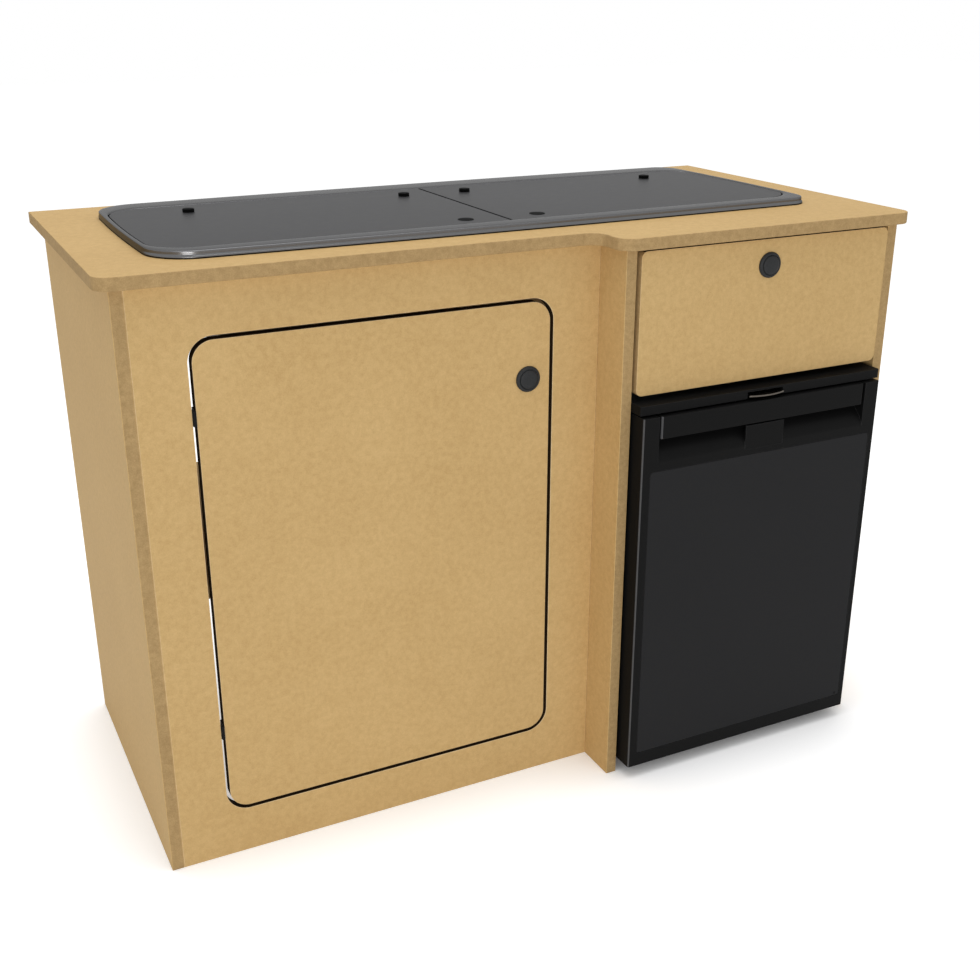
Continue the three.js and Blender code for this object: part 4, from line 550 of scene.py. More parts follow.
def turned(name, profile, centre, axis, steps=CIRCLE):
    """A turned piece: its section drawn point by point from one vertex, then spun round.
    The profile is (radius, place along the axis) in millimetres from the centre."""
    bpy.ops.object.select_all(action="DESELECT")
    bpy.ops.mesh.primitive_plane_add(size=0.01)
    piece = named(name)
    middle = place(*centre)
    line = Vector([float(index == axis) for index in range(3)])
    out = Vector([float(index == (axis + 1) % 3) for index in range(3)])
    spots = [middle + out * mm(radius) + line * mm(along) for radius, along in profile]
    bpy.ops.object.mode_set(mode="EDIT")
    bpy.ops.mesh.select_mode(type="VERT")
    bpy.ops.mesh.merge(type="CENTER")
    bpy.ops.transform.translate(value=spots[0])
    for before, after in zip(spots, spots[1:]):
        bpy.ops.mesh.extrude_vertices_move(TRANSFORM_OT_translate={"value": after - before})
    bpy.ops.mesh.select_all(action="SELECT")
    bpy.ops.mesh.spin(steps=steps, angle=math.tau, center=middle, axis=line)
    bpy.ops.mesh.select_all(action="SELECT")
    bpy.ops.mesh.remove_doubles(threshold=mm(POLE_WELD))
    bpy.ops.mesh.normals_make_consistent(inside=False)
    bpy.ops.object.mode_set(mode="OBJECT")
    return piece


def plug(radius, centre, axis, half):
    """A plain round tool to cut a hole with."""
    return turned("plug", [(0, -half), (radius, -half), (radius, half), (0, half)], centre, axis)


door = block("door_board", (DOOR[0], 0, DOOR[2]), (DOOR[1], BOARD, DOOR[3]))
round_corners(door, 1, DOOR_ROUND, 24)
cut(door, plug(LOCK_HOLE, (LOCK[0], BOARD / 2, LOCK[1]), 1, BOARD))
ease(door, FRONT_ARRIS, 4)
# All the door's edges take the near-black painted shade of the gap.
face_boards(door, 1, lambda side: True, 2)
mount(door, "cupboard_door", "fibreboard", "cupboard_door")

# Door hinges. Two small black steel butt hinges in the left gap: rolled knuckles on a pin, a
# leaf on the back of the frame and one on the back of the door, each held by two screws.
BLACK_TONES = color(9, 9, 10), color(18, 18, 19)
WORN_BLACK = color(44, 44, 46)
HINGE_HEIGHTS = (179.6, 584.2)
HINGE_SCREWS = (("frame", 66, "cabinet"), ("door", 92, "cupboard_door"))
SCREW_ROWS = (("low", -5), ("high", 5))
SCREW_BACK = 16.05
black_metal = grained(
    "black_steel", BLACK_TONES, (0.38, 0.52), 0.0, (1500, 300, 20),
    edge=(WORN_BLACK, 0.4), gloss=0.1
)

for height in ("lower", "upper"):
    for side, _, body in HINGE_SCREWS:
        hinge = f"{height}_hinge_{side}"
        dressed(hinge + "_leaf", hinge, black_metal, body, "black_metal", 0.2)


def smooth(piece, angle=30):
    """Smooth shading but for edges sharper than the angle."""
    only(piece)
    bpy.ops.object.shade_smooth_by_angle(angle=math.radians(angle))


def screw(name, radius, head):
    """A countersunk cross-head screw, its head at the origin facing -Z, to be copied."""
    profile = [(0, 0), (radius * 0.86, 0), (radius, head * 0.3), (radius * 0.45, head), (0, head)]
    piece = turned(name, profile, tuple(POD_MIDDLE), 2, 32)
    reach, narrow = radius * 0.55, radius * 0.13
    for size in ((narrow, reach), (reach, narrow)):
        low = (POD_MIDDLE.x - size[0], POD_MIDDLE.y - size[1], -head)
        high = (POD_MIDDLE.x + size[0], POD_MIDDLE.y + size[1], head * 0.45)
        cut(piece, block("slot", low, high))
    smooth(piece)
    return piece


def set_copy(pattern, name, turns, spot, material, body, slot):
    """A mounted copy of a pattern, turned and moved to its spot in its own mesh."""
    piece = pattern.copy()
    piece.data = pattern.data.copy()
    piece.name = name
    piece.data.name = name
    bpy.context.scene.collection.objects.link(piece)
    only(piece)
    bpy.ops.object.mode_set(mode="EDIT")
    bpy.ops.mesh.select_all(action="SELECT")
    for axis, angle in turns:
        bpy.ops.transform.rotate(value=-angle, orient_axis=axis, center_override=(0, 0, 0))
    bpy.ops.transform.translate(value=spot)
    bpy.ops.object.mode_set(mode="OBJECT")
    paint(piece, material)
    mount(piece, body, slot)


screw_pattern = screw("screw_pattern", 2.6, 1.6)
for index, height in enumerate(HINGE_HEIGHTS):
    for side, x, body in HINGE_SCREWS:
        for row, offset in SCREW_ROWS:
            name = f"hinge_screw_{index}_{side}_{row}"
            spot = place(x, SCREW_BACK, height + offset)
            turns = [("X", -math.pi / 2)]
            set_copy(screw_pattern, name, turns, spot, black_metal, body, "black_metal")
bpy.data.objects.remove(screw_pattern)

# Door lock. A black moulded push-button lock: a bevelled ring on the board, a domed button in
# it, a barrel through the hole, a case screwed behind, and a zinc bolt that the button draws.
PLASTIC_TONES = color(34, 35, 36), color(52, 53, 54)
PLASTIC_WORN = color(82, 83, 84)
ZINC_TONES = color(132, 135, 138), color(178, 181, 184)
ZINC_BRIGHT = color(214, 216, 218)
RING = 16.5
BUTTON = 12.2
BORE = 12.6
CASE_HALF = 20
CASE_BACK = 32
CASE_ROUND = 4
BOLT_DEPTHS = (17.5, 25.5)
BOLT_LENGTH = 30
BOLT_HALF = 6
BOLT_PLAY = 0.4
DOOR_THROW = 8
STRIKE = (532, 556)
STRIKE_HALF = 15
STRIKE_SHEET = 1.5
STRIKE_ROUND = 3
black_plastic = grained(
    "black_plastic", PLASTIC_TONES, (0.42, 0.55), 0.0, (2600, 500, 30), 0.08, 0.05,
    (PLASTIC_WORN, 0.35), 0.15
)
zinc = grained(
    "zinc_plate", ZINC_TONES, (0.28, 0.44), 1.0, (900, 120, 25), edge=(ZINC_BRIGHT, 0.6)
)


def add(piece, *others):
    """Joins the other shapes to the piece as one body."""
    for other in others:
        apply_modifier(piece, "BOOLEAN", operation="UNION", object=other, solver="EXACT")
        bpy.data.objects.remove(other)


def finish(piece, material, body, slot, *nodes):
    """Smooths a turned piece, gives it its material, and mounts it."""
    smooth(piece, 40)
    paint(piece, material)
    mount(piece, body, slot, *nodes)


def lock_body(name, x, face, z, throw, upward):
    """The ring, barrel and case of one lock, joined; face is the board's front in depth, and
    throw is how far the bolt stands out, upward or to the right."""
    ring = [(BORE, BOARD + 1), (BORE, -3.4), (BORE + 0.4, -3.9), (13.6, -4), (14.4, -3.9)]
    ring += [(16.2, -2.1), (RING, -1.6), (RING, 0), (14, 0), (14, BOARD + 1), (BORE, BOARD + 1)]
    piece = turned(name, ring, (x, face, z), 1)
    case_low = (x - CASE_HALF, face + BOARD, z - CASE_HALF)
    case = block("case", case_low, (x + CASE_HALF, face + CASE_BACK, z + CASE_HALF))
    round_corners(case, 1, CASE_ROUND, 6)
    near, far = face + BOLT_DEPTHS[0] - BOLT_PLAY, face + BOLT_DEPTHS[1] + BOLT_PLAY
    tail = CASE_HALF + throw - BOLT_LENGTH - BOLT_PLAY
    half = BOLT_HALF + BOLT_PLAY
    if upward:
        channel = block("channel", (x - half, near, z + tail), (x + half, far, z + CASE_HALF + 2))
    else:
        channel = block("channel", (x + tail, near, z - half), (x + CASE_HALF + 2, far, z + half))
    cut(case, plug(BORE, (x, face + BOARD, z), 1, 3), channel)
    ease(case, 0.6)
    add(piece, case)
    return piece


def fit_lock(label, body, x, face, z, throw, upward):
    """One lock: its body, a domed button on a stem, and a bolt bar with eased edges."""
    lock = lock_body(f"{label}_lock", x, face, z, throw, upward)
    finish(lock, black_plastic, body, "black_plastic", f"{label}_lock_body")

    profile = [(0, -6), (4, -5.94), (7.5, -5.74), (9.8, -5.42), (11.1, -5.08), (11.85, -4.6)]
    profile += [(BUTTON, -4), (BUTTON, -0.5), (4.5, -0.5), (4.5, 11.5), (0, 11.5)]
    button = turned(f"{label}_button_cap", profile, (x, face, z), 1)
    finish(button, black_plastic, f"{label}_button", "black_plastic", f"{label}_lock_button")

    run, cross = (z, x) if upward else (x, z)
    end = run + CASE_HALF + throw
    along, across = (end - BOLT_LENGTH, end), (cross - BOLT_HALF, cross + BOLT_HALF)
    depths = [face + depth for depth in BOLT_DEPTHS]
    sides = (across, depths, along) if upward else (along, depths, across)
    bolt = block(f"{label}_bolt_bar", *zip(*sides))
    ease(bolt, 0.8)
    paint(bolt, zinc)
    mount(bolt, f"{label}_bolt", "zinc", f"{label}_lock_bolt")


fit_lock("door", "cupboard_door", LOCK[0], 0, LOCK[1], DOOR_THROW, False)

strike_low = (STRIKE[0], BOARD, LOCK[1] - STRIKE_HALF)
strike_high = (STRIKE[1], BOARD + STRIKE_SHEET, LOCK[1] + STRIKE_HALF)
strike = block("door_strike", strike_low, strike_high)
round_corners(strike, 1, STRIKE_ROUND, 6)
ease(strike, 0.3)
paint(strike, zinc)
mount(strike, "cabinet", "zinc")

# Corner brackets. Small zinc angles hold the worktop to the panels and the panels to the van's
# floor, each with a screw in either leg.
BRACKET = 28
BRACKET_WIDTH = 24
BRACKET_SHEET = 2
BRACKET_SCREW = 18
SCREW_HOLE = 2.2
TOP_BRACKETS = ((15, 40, 0), (15, 400, 0), (160, 15, 0.5), (440, 15, 0.5), (611, -20, 0))
TOP_BRACKETS += ((611, 400, 0), (1003, -20, 1), (1003, 400, 1))
FLOOR_BRACKETS = ((15, 110, 0), (15, 360, 0), (596, 110, 1), (596, 360, 1))


def bracket():
    """One angle in the corner at the origin: a leg down on x = 0, a leg along +X under z = 0."""
    middle = POD_MIDDLE
    low = (middle.x, middle.y - BRACKET_WIDTH / 2, -BRACKET)
    high = (middle.x + BRACKET, middle.y + BRACKET_WIDTH / 2, 0)
    piece = block("bracket_pattern", low, high)
    inner_low = (low[0] + BRACKET_SHEET, low[1] - 1, low[2] - 1)
    inner = block("inner", inner_low, (high[0] + 1, high[1] + 1, -BRACKET_SHEET))
    cut(piece, inner)
    half = BRACKET_SHEET / 2
    for x, z, axis in ((half, -BRACKET_SCREW, 0), (BRACKET_SCREW, -half, 2)):
        cut(piece, plug(SCREW_HOLE, (middle.x + x, middle.y, z), axis, 3))
    ease(piece, 0.5, 2)
    return piece


pattern = bracket()
wood_screw = screw("wood_screw_pattern", 3.4, 1.8)
for index, (x, y, turn) in enumerate(TOP_BRACKETS + FLOOR_BRACKETS):
    low = index >= len(TOP_BRACKETS)
    corner = place(x, y, 0 if low else UNDER_TOP)
    around = turn * math.pi
    turns = [("X", math.pi), ("Z", around)] if low else [("Z", around)]
    set_copy(pattern, f"corner_bracket_{index}", turns, corner, zinc, "cabinet", "zinc")
    down = Vector((0, 0, 1 if low else -1))
    out = Vector((math.cos(around), math.sin(around), 0))
    for leg, spot, tip in (
        ("up", out * BRACKET_SHEET + down * BRACKET_SCREW, [("Y", math.pi / 2), ("Z", around)]),
        ("out", out * BRACKET_SCREW + down * BRACKET_SHEET, [("X", 0 if low else math.pi)]),
    ):
        name = f"bracket_screw_{index}_{leg}"
        set_copy(wood_screw, name, tip, corner + spot / 1000, zinc, "cabinet", "zinc")
bpy.data.objects.remove(pattern)
bpy.data.objects.remove(wood_screw)

# Drawer. A rounded fibreboard front, bored for its lock, screwed to a birch plywood box with a
# thinner base, on a pair of three-part zinc telescopic runners; its strike is under the worktop.
DRAWER = (615, 999, 552, 734)
DRAWER_FACE = -64.3
DRAWER_ROUND = 8.5
DRAWER_LOCK = (807, 701)
DRAWER_THROW = 6
PLY_TONES = color(196, 164, 118), color(226, 201, 160)
plywood = grained("birch_plywood", PLY_TONES, (0.5, 0.66), scales=(300, 45, 9))

drawer_low = (DRAWER[0], DRAWER_FACE, DRAWER[2])
drawer_front = block("drawer_board", drawer_low, (DRAWER[1], DRAWER_FACE + BOARD, DRAWER[3]))
round_corners(drawer_front, 1, DRAWER_ROUND)
lock_middle = (DRAWER_LOCK[0], DRAWER_FACE + BOARD / 2, DRAWER_LOCK[1])
cut(drawer_front, plug(LOCK_HOLE, lock_middle, 1, BOARD))
ease(drawer_front, FRONT_ARRIS, 4)
# The drawer front's top edge takes the near-black painted shade of the slot under the worktop.
face_boards(drawer_front, 1, lambda side: side.normal.z > 0.9, 2)
mount(drawer_front, "drawer", "fibreboard", "drawer_front")

for node in ("drawer_side_left", "drawer_side_right", "drawer_back", "drawer_base"):
    dressed(node, node + "_ply", plywood, "drawer", "plywood", 0.5)

for side in ("left", "right"):
    for member, body in (("outer", "cabinet"), ("middle", "runner_middles"), ("inner", "drawer")):
        node = f"runner_{member}_{side}"
        dressed(node, node + "_steel", zinc, body, "zinc", 0.25)
dressed("drawer_strike", "drawer_strike_plate", zinc, "cabinet", "zinc")

fit_lock("drawer", "drawer", DRAWER_LOCK[0], DRAWER_FACE, DRAWER_LOCK[1], DRAWER_THROW, True)

# Hob and sink tray. One pressed stainless sheet: a rolled rim that stands on a black seal, a
# ledge that the glass lies on, a pan under each lid and a deep bowl in the left pan.
UNIT = (900, 370, (50, 25), 5, 7, 504, 215.5)
POCKET = (889, 294, (46, 46), 5, 1, 504, 207)
RING_WELD = 0.002
OUTLINE_TURN = 14
OUTLINE_SIDE = 18
RIM = [(0, 1.5), (0, 2.4), (0.02, 3.1), (0.045, 3.9), (0.058, 4.7), (0.06, 5.4), (0.061, 7.6)]
RIM += [(0.064, 8.2), (0.072, 8.65), (0.09, 8.95), (0.13, 9.1), (0.3, 9.18), (0.6, 9.2)]
RIM += [(0.85, 9.15), (0.93, 9.0), (0.97, 8.7), (1, 7.8), (1, 2), (1, 0.8), (0.5, 0.9)]
PAN_FLOOR = 731
LEDGE = 755
STEEL = 1.2
LEFT_PAN = (78, 435, 78.5, 335.5)
RIGHT_PAN = (573, 930, 78.5, 335.5)
BOWL = (145, 385, 92.5, 322.5)
BOWL_FLOOR = 613
PAN_ROUND = 35
BOWL_ROUND = 45
BOWL_FOOT = 14
BOWL_MIDDLE = (265, 207.5)
WASTE_HOLE = 26.3
# The rim's steel is painted much darker than the pans', though both are one sheet, and its grazing
# gloss is tinted down: a painted dark reflection.
RIM_DARK_REFLECTION_TONES = color(102, 102, 103), color(107, 107, 108)
RIM_GRAZING = (0.47, 0.47, 0.47, 1)
STEEL_TONES = color(176, 177, 179), color(190, 191, 193)
RUBBER_TONES = color(6, 6, 6), color(13, 13, 13)
rubber = grained("rubber", RUBBER_TONES, (0.6, 0.8), 0.0, (3000, 600, 40), gloss=0.03)
rim_steel_dark_reflection = grained("rim_steel_dark_reflection", RIM_DARK_REFLECTION_TONES, (0.22, 0.28), 1.0, (1200, 200, 12), 0.02, 0.02)
rim_steel_dark_reflection.node_tree.nodes["Principled BSDF"].inputs["Specular Tint"].default_value = RIM_GRAZING
pan_steel = grained("pan_steel", STEEL_TONES, (0.27, 0.31), 1.0, (1200, 60, 6), 0.02, 0.01)


def outline(length, depth, corners, end_bow, side_bow, middle_x, middle_y):
    """A rounded rectangle with bowed sides, as points in order round it; corners holds the
    radius of the two left corners and that of the two right ones."""
    half_x, half_y = length / 2 - end_bow, depth / 2 - side_bow
    turns = [(1, -1), (1, 1), (-1, 1), (-1, -1)]
    points = []
    for index, (sign_x, sign_y) in enumerate(turns):
        next_x, next_y = turns[(index + 1) % 4]
        corner, next_corner = corners[sign_x > 0], corners[next_x > 0]
        for step in range(OUTLINE_TURN + OUTLINE_SIDE):
            angle = (index - 1 + min(step / OUTLINE_TURN, 1)) * math.pi / 2
            along = max(step - OUTLINE_TURN, 0) / OUTLINE_SIDE
            from_x, from_y = sign_x * (half_x - corner), sign_y * (half_y - corner)
            to_x, to_y = next_x * (half_x - next_corner), next_y * (half_y - next_corner)
            reach = corner + (next_corner - corner) * along
            x = from_x + (to_x - from_x) * along + reach * math.cos(angle)
            y = from_y + (to_y - from_y) * along + reach * math.sin(angle)
            bowed_x = x * (1 + end_bow / half_x * (1 - (y / half_y) ** 2))
            bowed_y = y * (1 + side_bow / half_y * (1 - (x / half_x) ** 2))
            points.append((middle_x + bowed_x, middle_y + bowed_y))
    return points


def key(spot):
    """A point as rounded numbers, to find it again by."""
    return tuple(round(value, 7) for value in spot)


def ringed(name, rings, close):
    """A piece drawn through rings of points: a circle moved to the first ring, then extruded
    and moved to each next one; it closes on its first ring or with a face at each end."""
    bpy.ops.object.select_all(action="DESELECT")
    bpy.ops.mesh.primitive_circle_add(vertices=len(rings[0]), radius=1)
    piece = named(name)
    for vert, spot in zip(piece.data.vertices, rings[0]):
        vert.co = place(*spot)
    bpy.ops.object.mode_set(mode="EDIT")
    bpy.ops.mesh.select_mode(type="EDGE")
    bpy.ops.mesh.select_all(action="SELECT")
    if not close:
        bpy.ops.mesh.edge_face_add()
        bpy.ops.mesh.select_all(action="SELECT")
    for before, after in zip(rings, rings[1:]):
        bpy.ops.mesh.extrude_edges_move()
        cage = bmesh.from_edit_mesh(piece.data)
        order = {key(place(*spot)): place(*goal) for spot, goal in zip(before, after)}
        for vert in cage.verts:
            if vert.select:
                vert.co = order[key(vert.co)]
        bmesh.update_edit_mesh(piece.data)
    if close:
        bpy.ops.mesh.select_all(action="SELECT")
        bpy.ops.mesh.remove_doubles(threshold=mm(RING_WELD))
    else:
        bpy.ops.mesh.edge_face_add()
    bpy.ops.mesh.select_all(action="SELECT")
    bpy.ops.mesh.normals_make_consistent(inside=False)
    bpy.ops.object.mode_set(mode="OBJECT")
    return piece


dressed("unit_seal", "unit_seal_ring", rubber, "cabinet", "rubber", 0.4)

outer, inner = outline(*UNIT), outline(*POCKET)
rings = []
for share, height in RIM + RIM[:1]:
    row = [(a + (c - a) * share, b + (d - b) * share) for (a, b), (c, d) in zip(outer, inner)]
    rings.append([(x, y, TOP_HIGH + height) for x, y in row])
rim = ringed("tray_rim", rings, True)
smooth(rim, 50)
paint(rim, rim_steel_dark_reflection)
mount(rim, "cabinet", "stainless", "unit_tray")


def basin(name, sides, low, high, corner, grow=0.0, floor_round=8):
    """A round-cornered tub shape, open upwards when cut out of a larger one."""
    x0, x1, y0, y1 = sides
    piece = block(name, (x0 - grow, y0 - grow, low - grow), (x1 + grow, y1 + grow, high))
    round_corners(piece, 2, corner + grow, 12)
    base = place(0, 0, low - grow).z
    select_edges(piece, lambda edge: all(abs(vert.co.z - base) < 1e-6 for vert in edge.verts))
    bpy.ops.mesh.bevel(offset=mm(floor_round + grow), segments=6, profile=0.5)
    bpy.ops.object.mode_set(mode="OBJECT")
    return piece


plate_rings = [[(x, y, z) for x, y in inner] for z in (LEDGE - STEEL, LEDGE)]
pans = ringed("tray_pans", plate_rings, False)
for sides in (LEFT_PAN, RIGHT_PAN):
    add(pans, basin("pan", sides, PAN_FLOOR, LEDGE - STEEL / 2, PAN_ROUND, STEEL))
add(pans, basin("bowl", BOWL, BOWL_FLOOR, PAN_FLOOR - STEEL / 2, BOWL_ROUND, STEEL, BOWL_FOOT))
for sides in (LEFT_PAN, RIGHT_PAN):
    cut(pans, basin("pan", sides, PAN_FLOOR, LEDGE + 5, PAN_ROUND))
cut(pans, basin("bowl", BOWL, BOWL_FLOOR, PAN_FLOOR + 5, BOWL_ROUND, 0, BOWL_FOOT))
cut(pans, plug(WASTE_HOLE, (*BOWL_MIDDLE, BOWL_FLOOR), 2, 6))
ease(pans, 1.5, 3, 50)
paint(pans, pan_steel)
mount(pans, "cabinet", "stainless")

# Lid hinge ears. Two steel ears, a web and a pin are welded to the ledge in each of the four
# notches behind the glass, and the knuckles of the lid's rail turn on the pin.
LID_AXIS = (358.5, 758.4)
LID_PIN = (1.1, 9)
HINGE_PLACES = (131.75, 431.75, 576.25, 876.25)
EAR = (17.3, (355.6, 363.4), (754, 761))
EAR_GAP = (8.3, (350, 361.4), (754.8, 765))
for index, x in enumerate(HINGE_PLACES):
    half, depths, heights = EAR
    ears = block(f"lid_ears_{index}", *zip((x - half, x + half), depths, heights))
    half, depths, heights = EAR_GAP
    cut(ears, block("gap", *zip((x - half, x + half), depths, heights)))
    ease(ears, 0.5)
    radius, half = LID_PIN
    pin_line = [(0, -half), (radius, -half), (radius, half), (0, half)]
    pin = turned("pin", pin_line, (x, *LID_AXIS), 0, 24)
    add(ears, pin)
    paint(ears, pan_steel)
    mount(ears, "cabinet", "stainless")

# Glass lids. Two flat panes of smoked toughened glass, flush in the rim with a narrow seam,
# each blackened on its edges and underside, bonded to a black hinge rail, with rubber bumpers.
GLASS = (756.4, 761.4)
GLASS_GAP = 1.5
SEAMS = (502.5, 505.5)
PUCKS = (
    ("bumper_inner", 46, 296.5, 7.5, 4.5, 1.1),
    ("bumper_outer", 343.5, 296.5, 7.5, 4.5, 0.0),
    ("disc", 50, 89, 10, 0.6, 1.1),
)
GLASS_TONES = color(54, 54, 55), color(57, 57, 58)
smoked_glass = grained(
    "smoked_glass", GLASS_TONES, (0.38, 0.42), 0.0, (500, 80, 6), 0.01, 0.02, gloss=0.035
)

turned_in = [corner - GLASS_GAP for corner in POCKET[2]]
inset = (POCKET[0] - 2 * GLASS_GAP, POCKET[1] - 2 * GLASS_GAP, turned_in, *POCKET[3:])
pane_line = outline(*inset)
for side, seam, turn in (("left", SEAMS[0], 1), ("right", SEAMS[1], -1)):
    pane = ringed(f"glass_{side}", [[(x, y, z) for x, y in pane_line] for z in GLASS], False)
    bpy.ops.object.mode_set(mode="EDIT")
    bpy.ops.mesh.select_all(action="SELECT")
    bpy.ops.mesh.bisect(
        plane_co=place(seam, 0, 0), plane_no=(turn, 0, 0), use_fill=True, clear_outer=True,
        threshold=1e-7
    )
    bpy.ops.object.mode_set(mode="OBJECT")
    ease(pane, 0.7, 3)
    paint(pane, smoked_glass, rubber)
    for face in pane.data.polygons:
        face.material_index = int(face.normal.z < 0.5)
    mount(pane, f"lid_{side}", "smoked_glass", f"glass_lid_{side}")
    rail = f"lid_hinge_rail_{side}"
    dressed(rail, f"lid_rail_{side}", black_metal, f"lid_{side}", "black_metal", 0.15)
    under, over = GLASS
    for label, away, y, radius, height, foot in PUCKS:
        top = over + height
        soft = min(0.7, height * 0.5)
        profile = [(0, top), (radius * 0.5, top - 0.02), (radius - soft, top - 0.05)]
        profile += [(radius - soft * 0.3, top - soft * 0.35), (radius, top - soft)]
        profile += [(radius, over + 0.2), (radius - 0.3, over), (4, over)]
        if foot:
            profile += [(4, under), (7, under), (7, under - foot), (0, under - foot)]
        else:
            profile += [(0, over)]
        puck = turned(f"{label}_{side}", profile, (POCKET[5] - turn * away, y, 0), 2)
        finish(puck, rubber, f"lid_{side}", "rubber")

# Sink and tap. A chromed waste with a strainer in the bowl, and a low tap with a swivelling
# spout and a valve knob, all short enough to lie under the closed lid.
TAP = (412, 301.5)
VALVE = (412, 239.5)
ON_PAN = 731.3
STRAINER_HEIGHT = 606.5
STRAINER_RINGS = ((7, 6), (14.5, 12))
SPOUT_HEIGHT = 748
SPOUT_REACH = 110
FLUTES = 10
FLUTE_RING = 12.2
CHROME_TONES = color(205, 206, 208), color(226, 227, 229)
chrome = grained("chrome", CHROME_TONES, (0.06, 0.12), 1.0, (900, 100, 10), 0.01, 0.02)


def ring_spots(middle, radius, count, height):
    """Points at even steps on a level circle."""
    for step in range(count):
        angle = step / count * math.tau
        yield middle[0] + radius * math.cos(angle), middle[1] + radius * math.sin(angle), height


profile = [(22, 553), (26, 553), (26, 612.6), (35, 612.6), (35, 613.9), (34.4, 614.5), (31, 614.6)]
profile += [(27, 613.6), (22.8, 611), (22, 609), (22, 553)]
drain = turned("sink_waste", profile, (*BOWL_MIDDLE, 0), 2)
finish(drain, chrome, "cabinet", "chrome", "sink_drain")
profile = [(0, 606), (21.9, 606), (21.9, 607), (0, 607)]
strainer = turned("sink_strainer", profile, (*BOWL_MIDDLE, 0), 2)
for radius, count in STRAINER_RINGS:
    for spot in ring_spots(BOWL_MIDDLE, radius, count, STRAINER_HEIGHT):
        cut(strainer, turned("drill", [(0, -2), (2, -2), (2, 2), (0, 2)], spot, 2, 16))
smooth(strainer)
paint(strainer, chrome)
mount(strainer, "cabinet", "chrome")

profile = [(0, 719), (6, 719), (6, ON_PAN), (14, ON_PAN), (14, 733), (13.4, 734), (11.5, 735.4)]
profile += [(10.6, 737), (10.4, 739.6), (9.8, 740.3), (0, 740.3)]
tap_foot = turned("tap_foot", profile, (*TAP, 0), 2)
finish(tap_foot, chrome, "cabinet", "chrome", "tap_base")

profile = [(0, 740.6), (7.6, 740.6), (8, 741), (8, 752.6), (7.6, 753.4), (6.6, 754), (0, 754)]
spout = turned("tap_spout_arm", profile, (*TAP, 0), 2)
profile = [(0, -118), (4, -118), (5.6, -117), (6, -115), (6, 0), (0, 0)]
arm = turned("arm", profile, (*TAP, SPOUT_HEIGHT), 0)
tip = (TAP[0] - SPOUT_REACH, TAP[1], 0)
nozzle = turned("nozzle", [(0, 739), (5, 739), (5, 746), (0, 746)], tip, 2)
mouth = turned("mouth", [(0, 738), (3.5, 738), (3.5, 745), (0, 745)], tip, 2)
add(spout, arm, nozzle)
cut(spout, mouth)
finish(spout, chrome, "tap_spout", "chrome", "tap_spout")

profile = [(0, 719), (3, 719), (3, ON_PAN), (10, ON_PAN), (11, 732.3), (11, 741), (10.6, 743)]
profile += [(9.4, 744), (0, 744.3)]
valve = turned("tap_valve", profile, (*VALVE, 0), 2)
for spot in ring_spots(VALVE, FLUTE_RING, FLUTES, 738.5):
    cut(valve, turned("flute", [(0, -4.5), (2, -4.5), (2, 7), (0, 7)], spot, 2, 16))
finish(valve, chrome, "tap_valve", "chrome", "tap_valve_knob")

# Hob. Two gas burners with slotted alloy crowns and enamelled caps under one enamelled wire
# grid, two black knobs at the front of the pan, and a zinc box round the gas parts below.
BURNERS = (659, 844)
BURNER_DEPTH = 223.5
KNOBS = (721.5, 781.5)
KNOB_DEPTH = 108.5
GRIP = (2.5, 13.5, 734, 745.3)
FLAME_PORTS = 28
FLAME_RING = 29.4
ENAMEL_TONES = color(16, 16, 17), color(26, 26, 27)
enamel = grained("black_enamel", ENAMEL_TONES, (0.16, 0.26), 0.0, (1400, 200, 20), 0.05, 0.05)
for name, x in zip(("left", "right"), BURNERS):
    profile = [(0, 701.3), (12, 701.3), (12, ON_PAN), (42, ON_PAN), (42, 732.4), (41, 733.6)]
    profile += [(36, 734.3), (30.6, 734.4), (29.6, 735.4), (29.4, 741.6), (28.4, 742.3), (0, 742.3)]
    crown = turned(f"burner_crown_{name}", profile, (x, BURNER_DEPTH, 0), 2)
    for spot in ring_spots((x, BURNER_DEPTH), FLAME_RING, FLAME_PORTS, 739):
        port = [(0, -1.6), (0.9, -1.6), (0.9, 1.6), (0, 1.6)]
        cut(crown, turned("flame_port", port, spot, 2, 8))
    finish(crown, pan_steel, "cabinet", "enamel", f"burner_{name}")
    profile = [(0, 742.3), (25.4, 742.3), (26, 742.8), (25.8, 744.2), (24.6, 745)]
    profile += [(18, 745.3), (0, 745.3)]
    cap = turned(f"burner_cap_{name}", profile, (x, BURNER_DEPTH, 0), 2)
    finish(cap, enamel, "cabinet", "enamel")

dressed("pan_support", "pan_grid", enamel, "cabinet", "enamel", 1.2, 3, 40)

for name, x in zip(("left", "right"), KNOBS):
    profile = [(0, 719.3), (3, 719.3), (3, ON_PAN), (16, ON_PAN), (16, 733.5), (15, 735)]
    profile += [(12, 735.3), (0, 735.3)]
    knob = turned(f"gas_knob_{name}", profile, (x, KNOB_DEPTH, 0), 2)
    half_x, half_y, foot, top = GRIP
    grip_low = (x - half_x, KNOB_DEPTH - half_y, foot)
    grip = block("grip", grip_low, (x + half_x, KNOB_DEPTH + half_y, top))
    round_corners(grip, 0, 4, 8, lambda edge: edge.verts[0].co.z > place(0, 0, 740).z)
    ease(grip, 0.8)
    add(knob, grip)
    finish(knob, black_plastic, f"hob_knob_{name}", "black_plastic", f"hob_knob_{name}")

dressed("burner_box", "gas_box", zinc, "cabinet", "zinc", 0.4)

# Fridge cabinet. A foamed dark plastic-coated steel body with a white vacuum-formed inside,
# wire shelves on ribs, and the compressor and condenser in a notch at its back foot. It
# stands on a steel plate with four feet, whose front carries the door's lower pin.
CAVITY = ((644, 964), (-44, 384), (60, 502))
BODY_TONES = color(16, 16, 16), color(21, 21, 21)
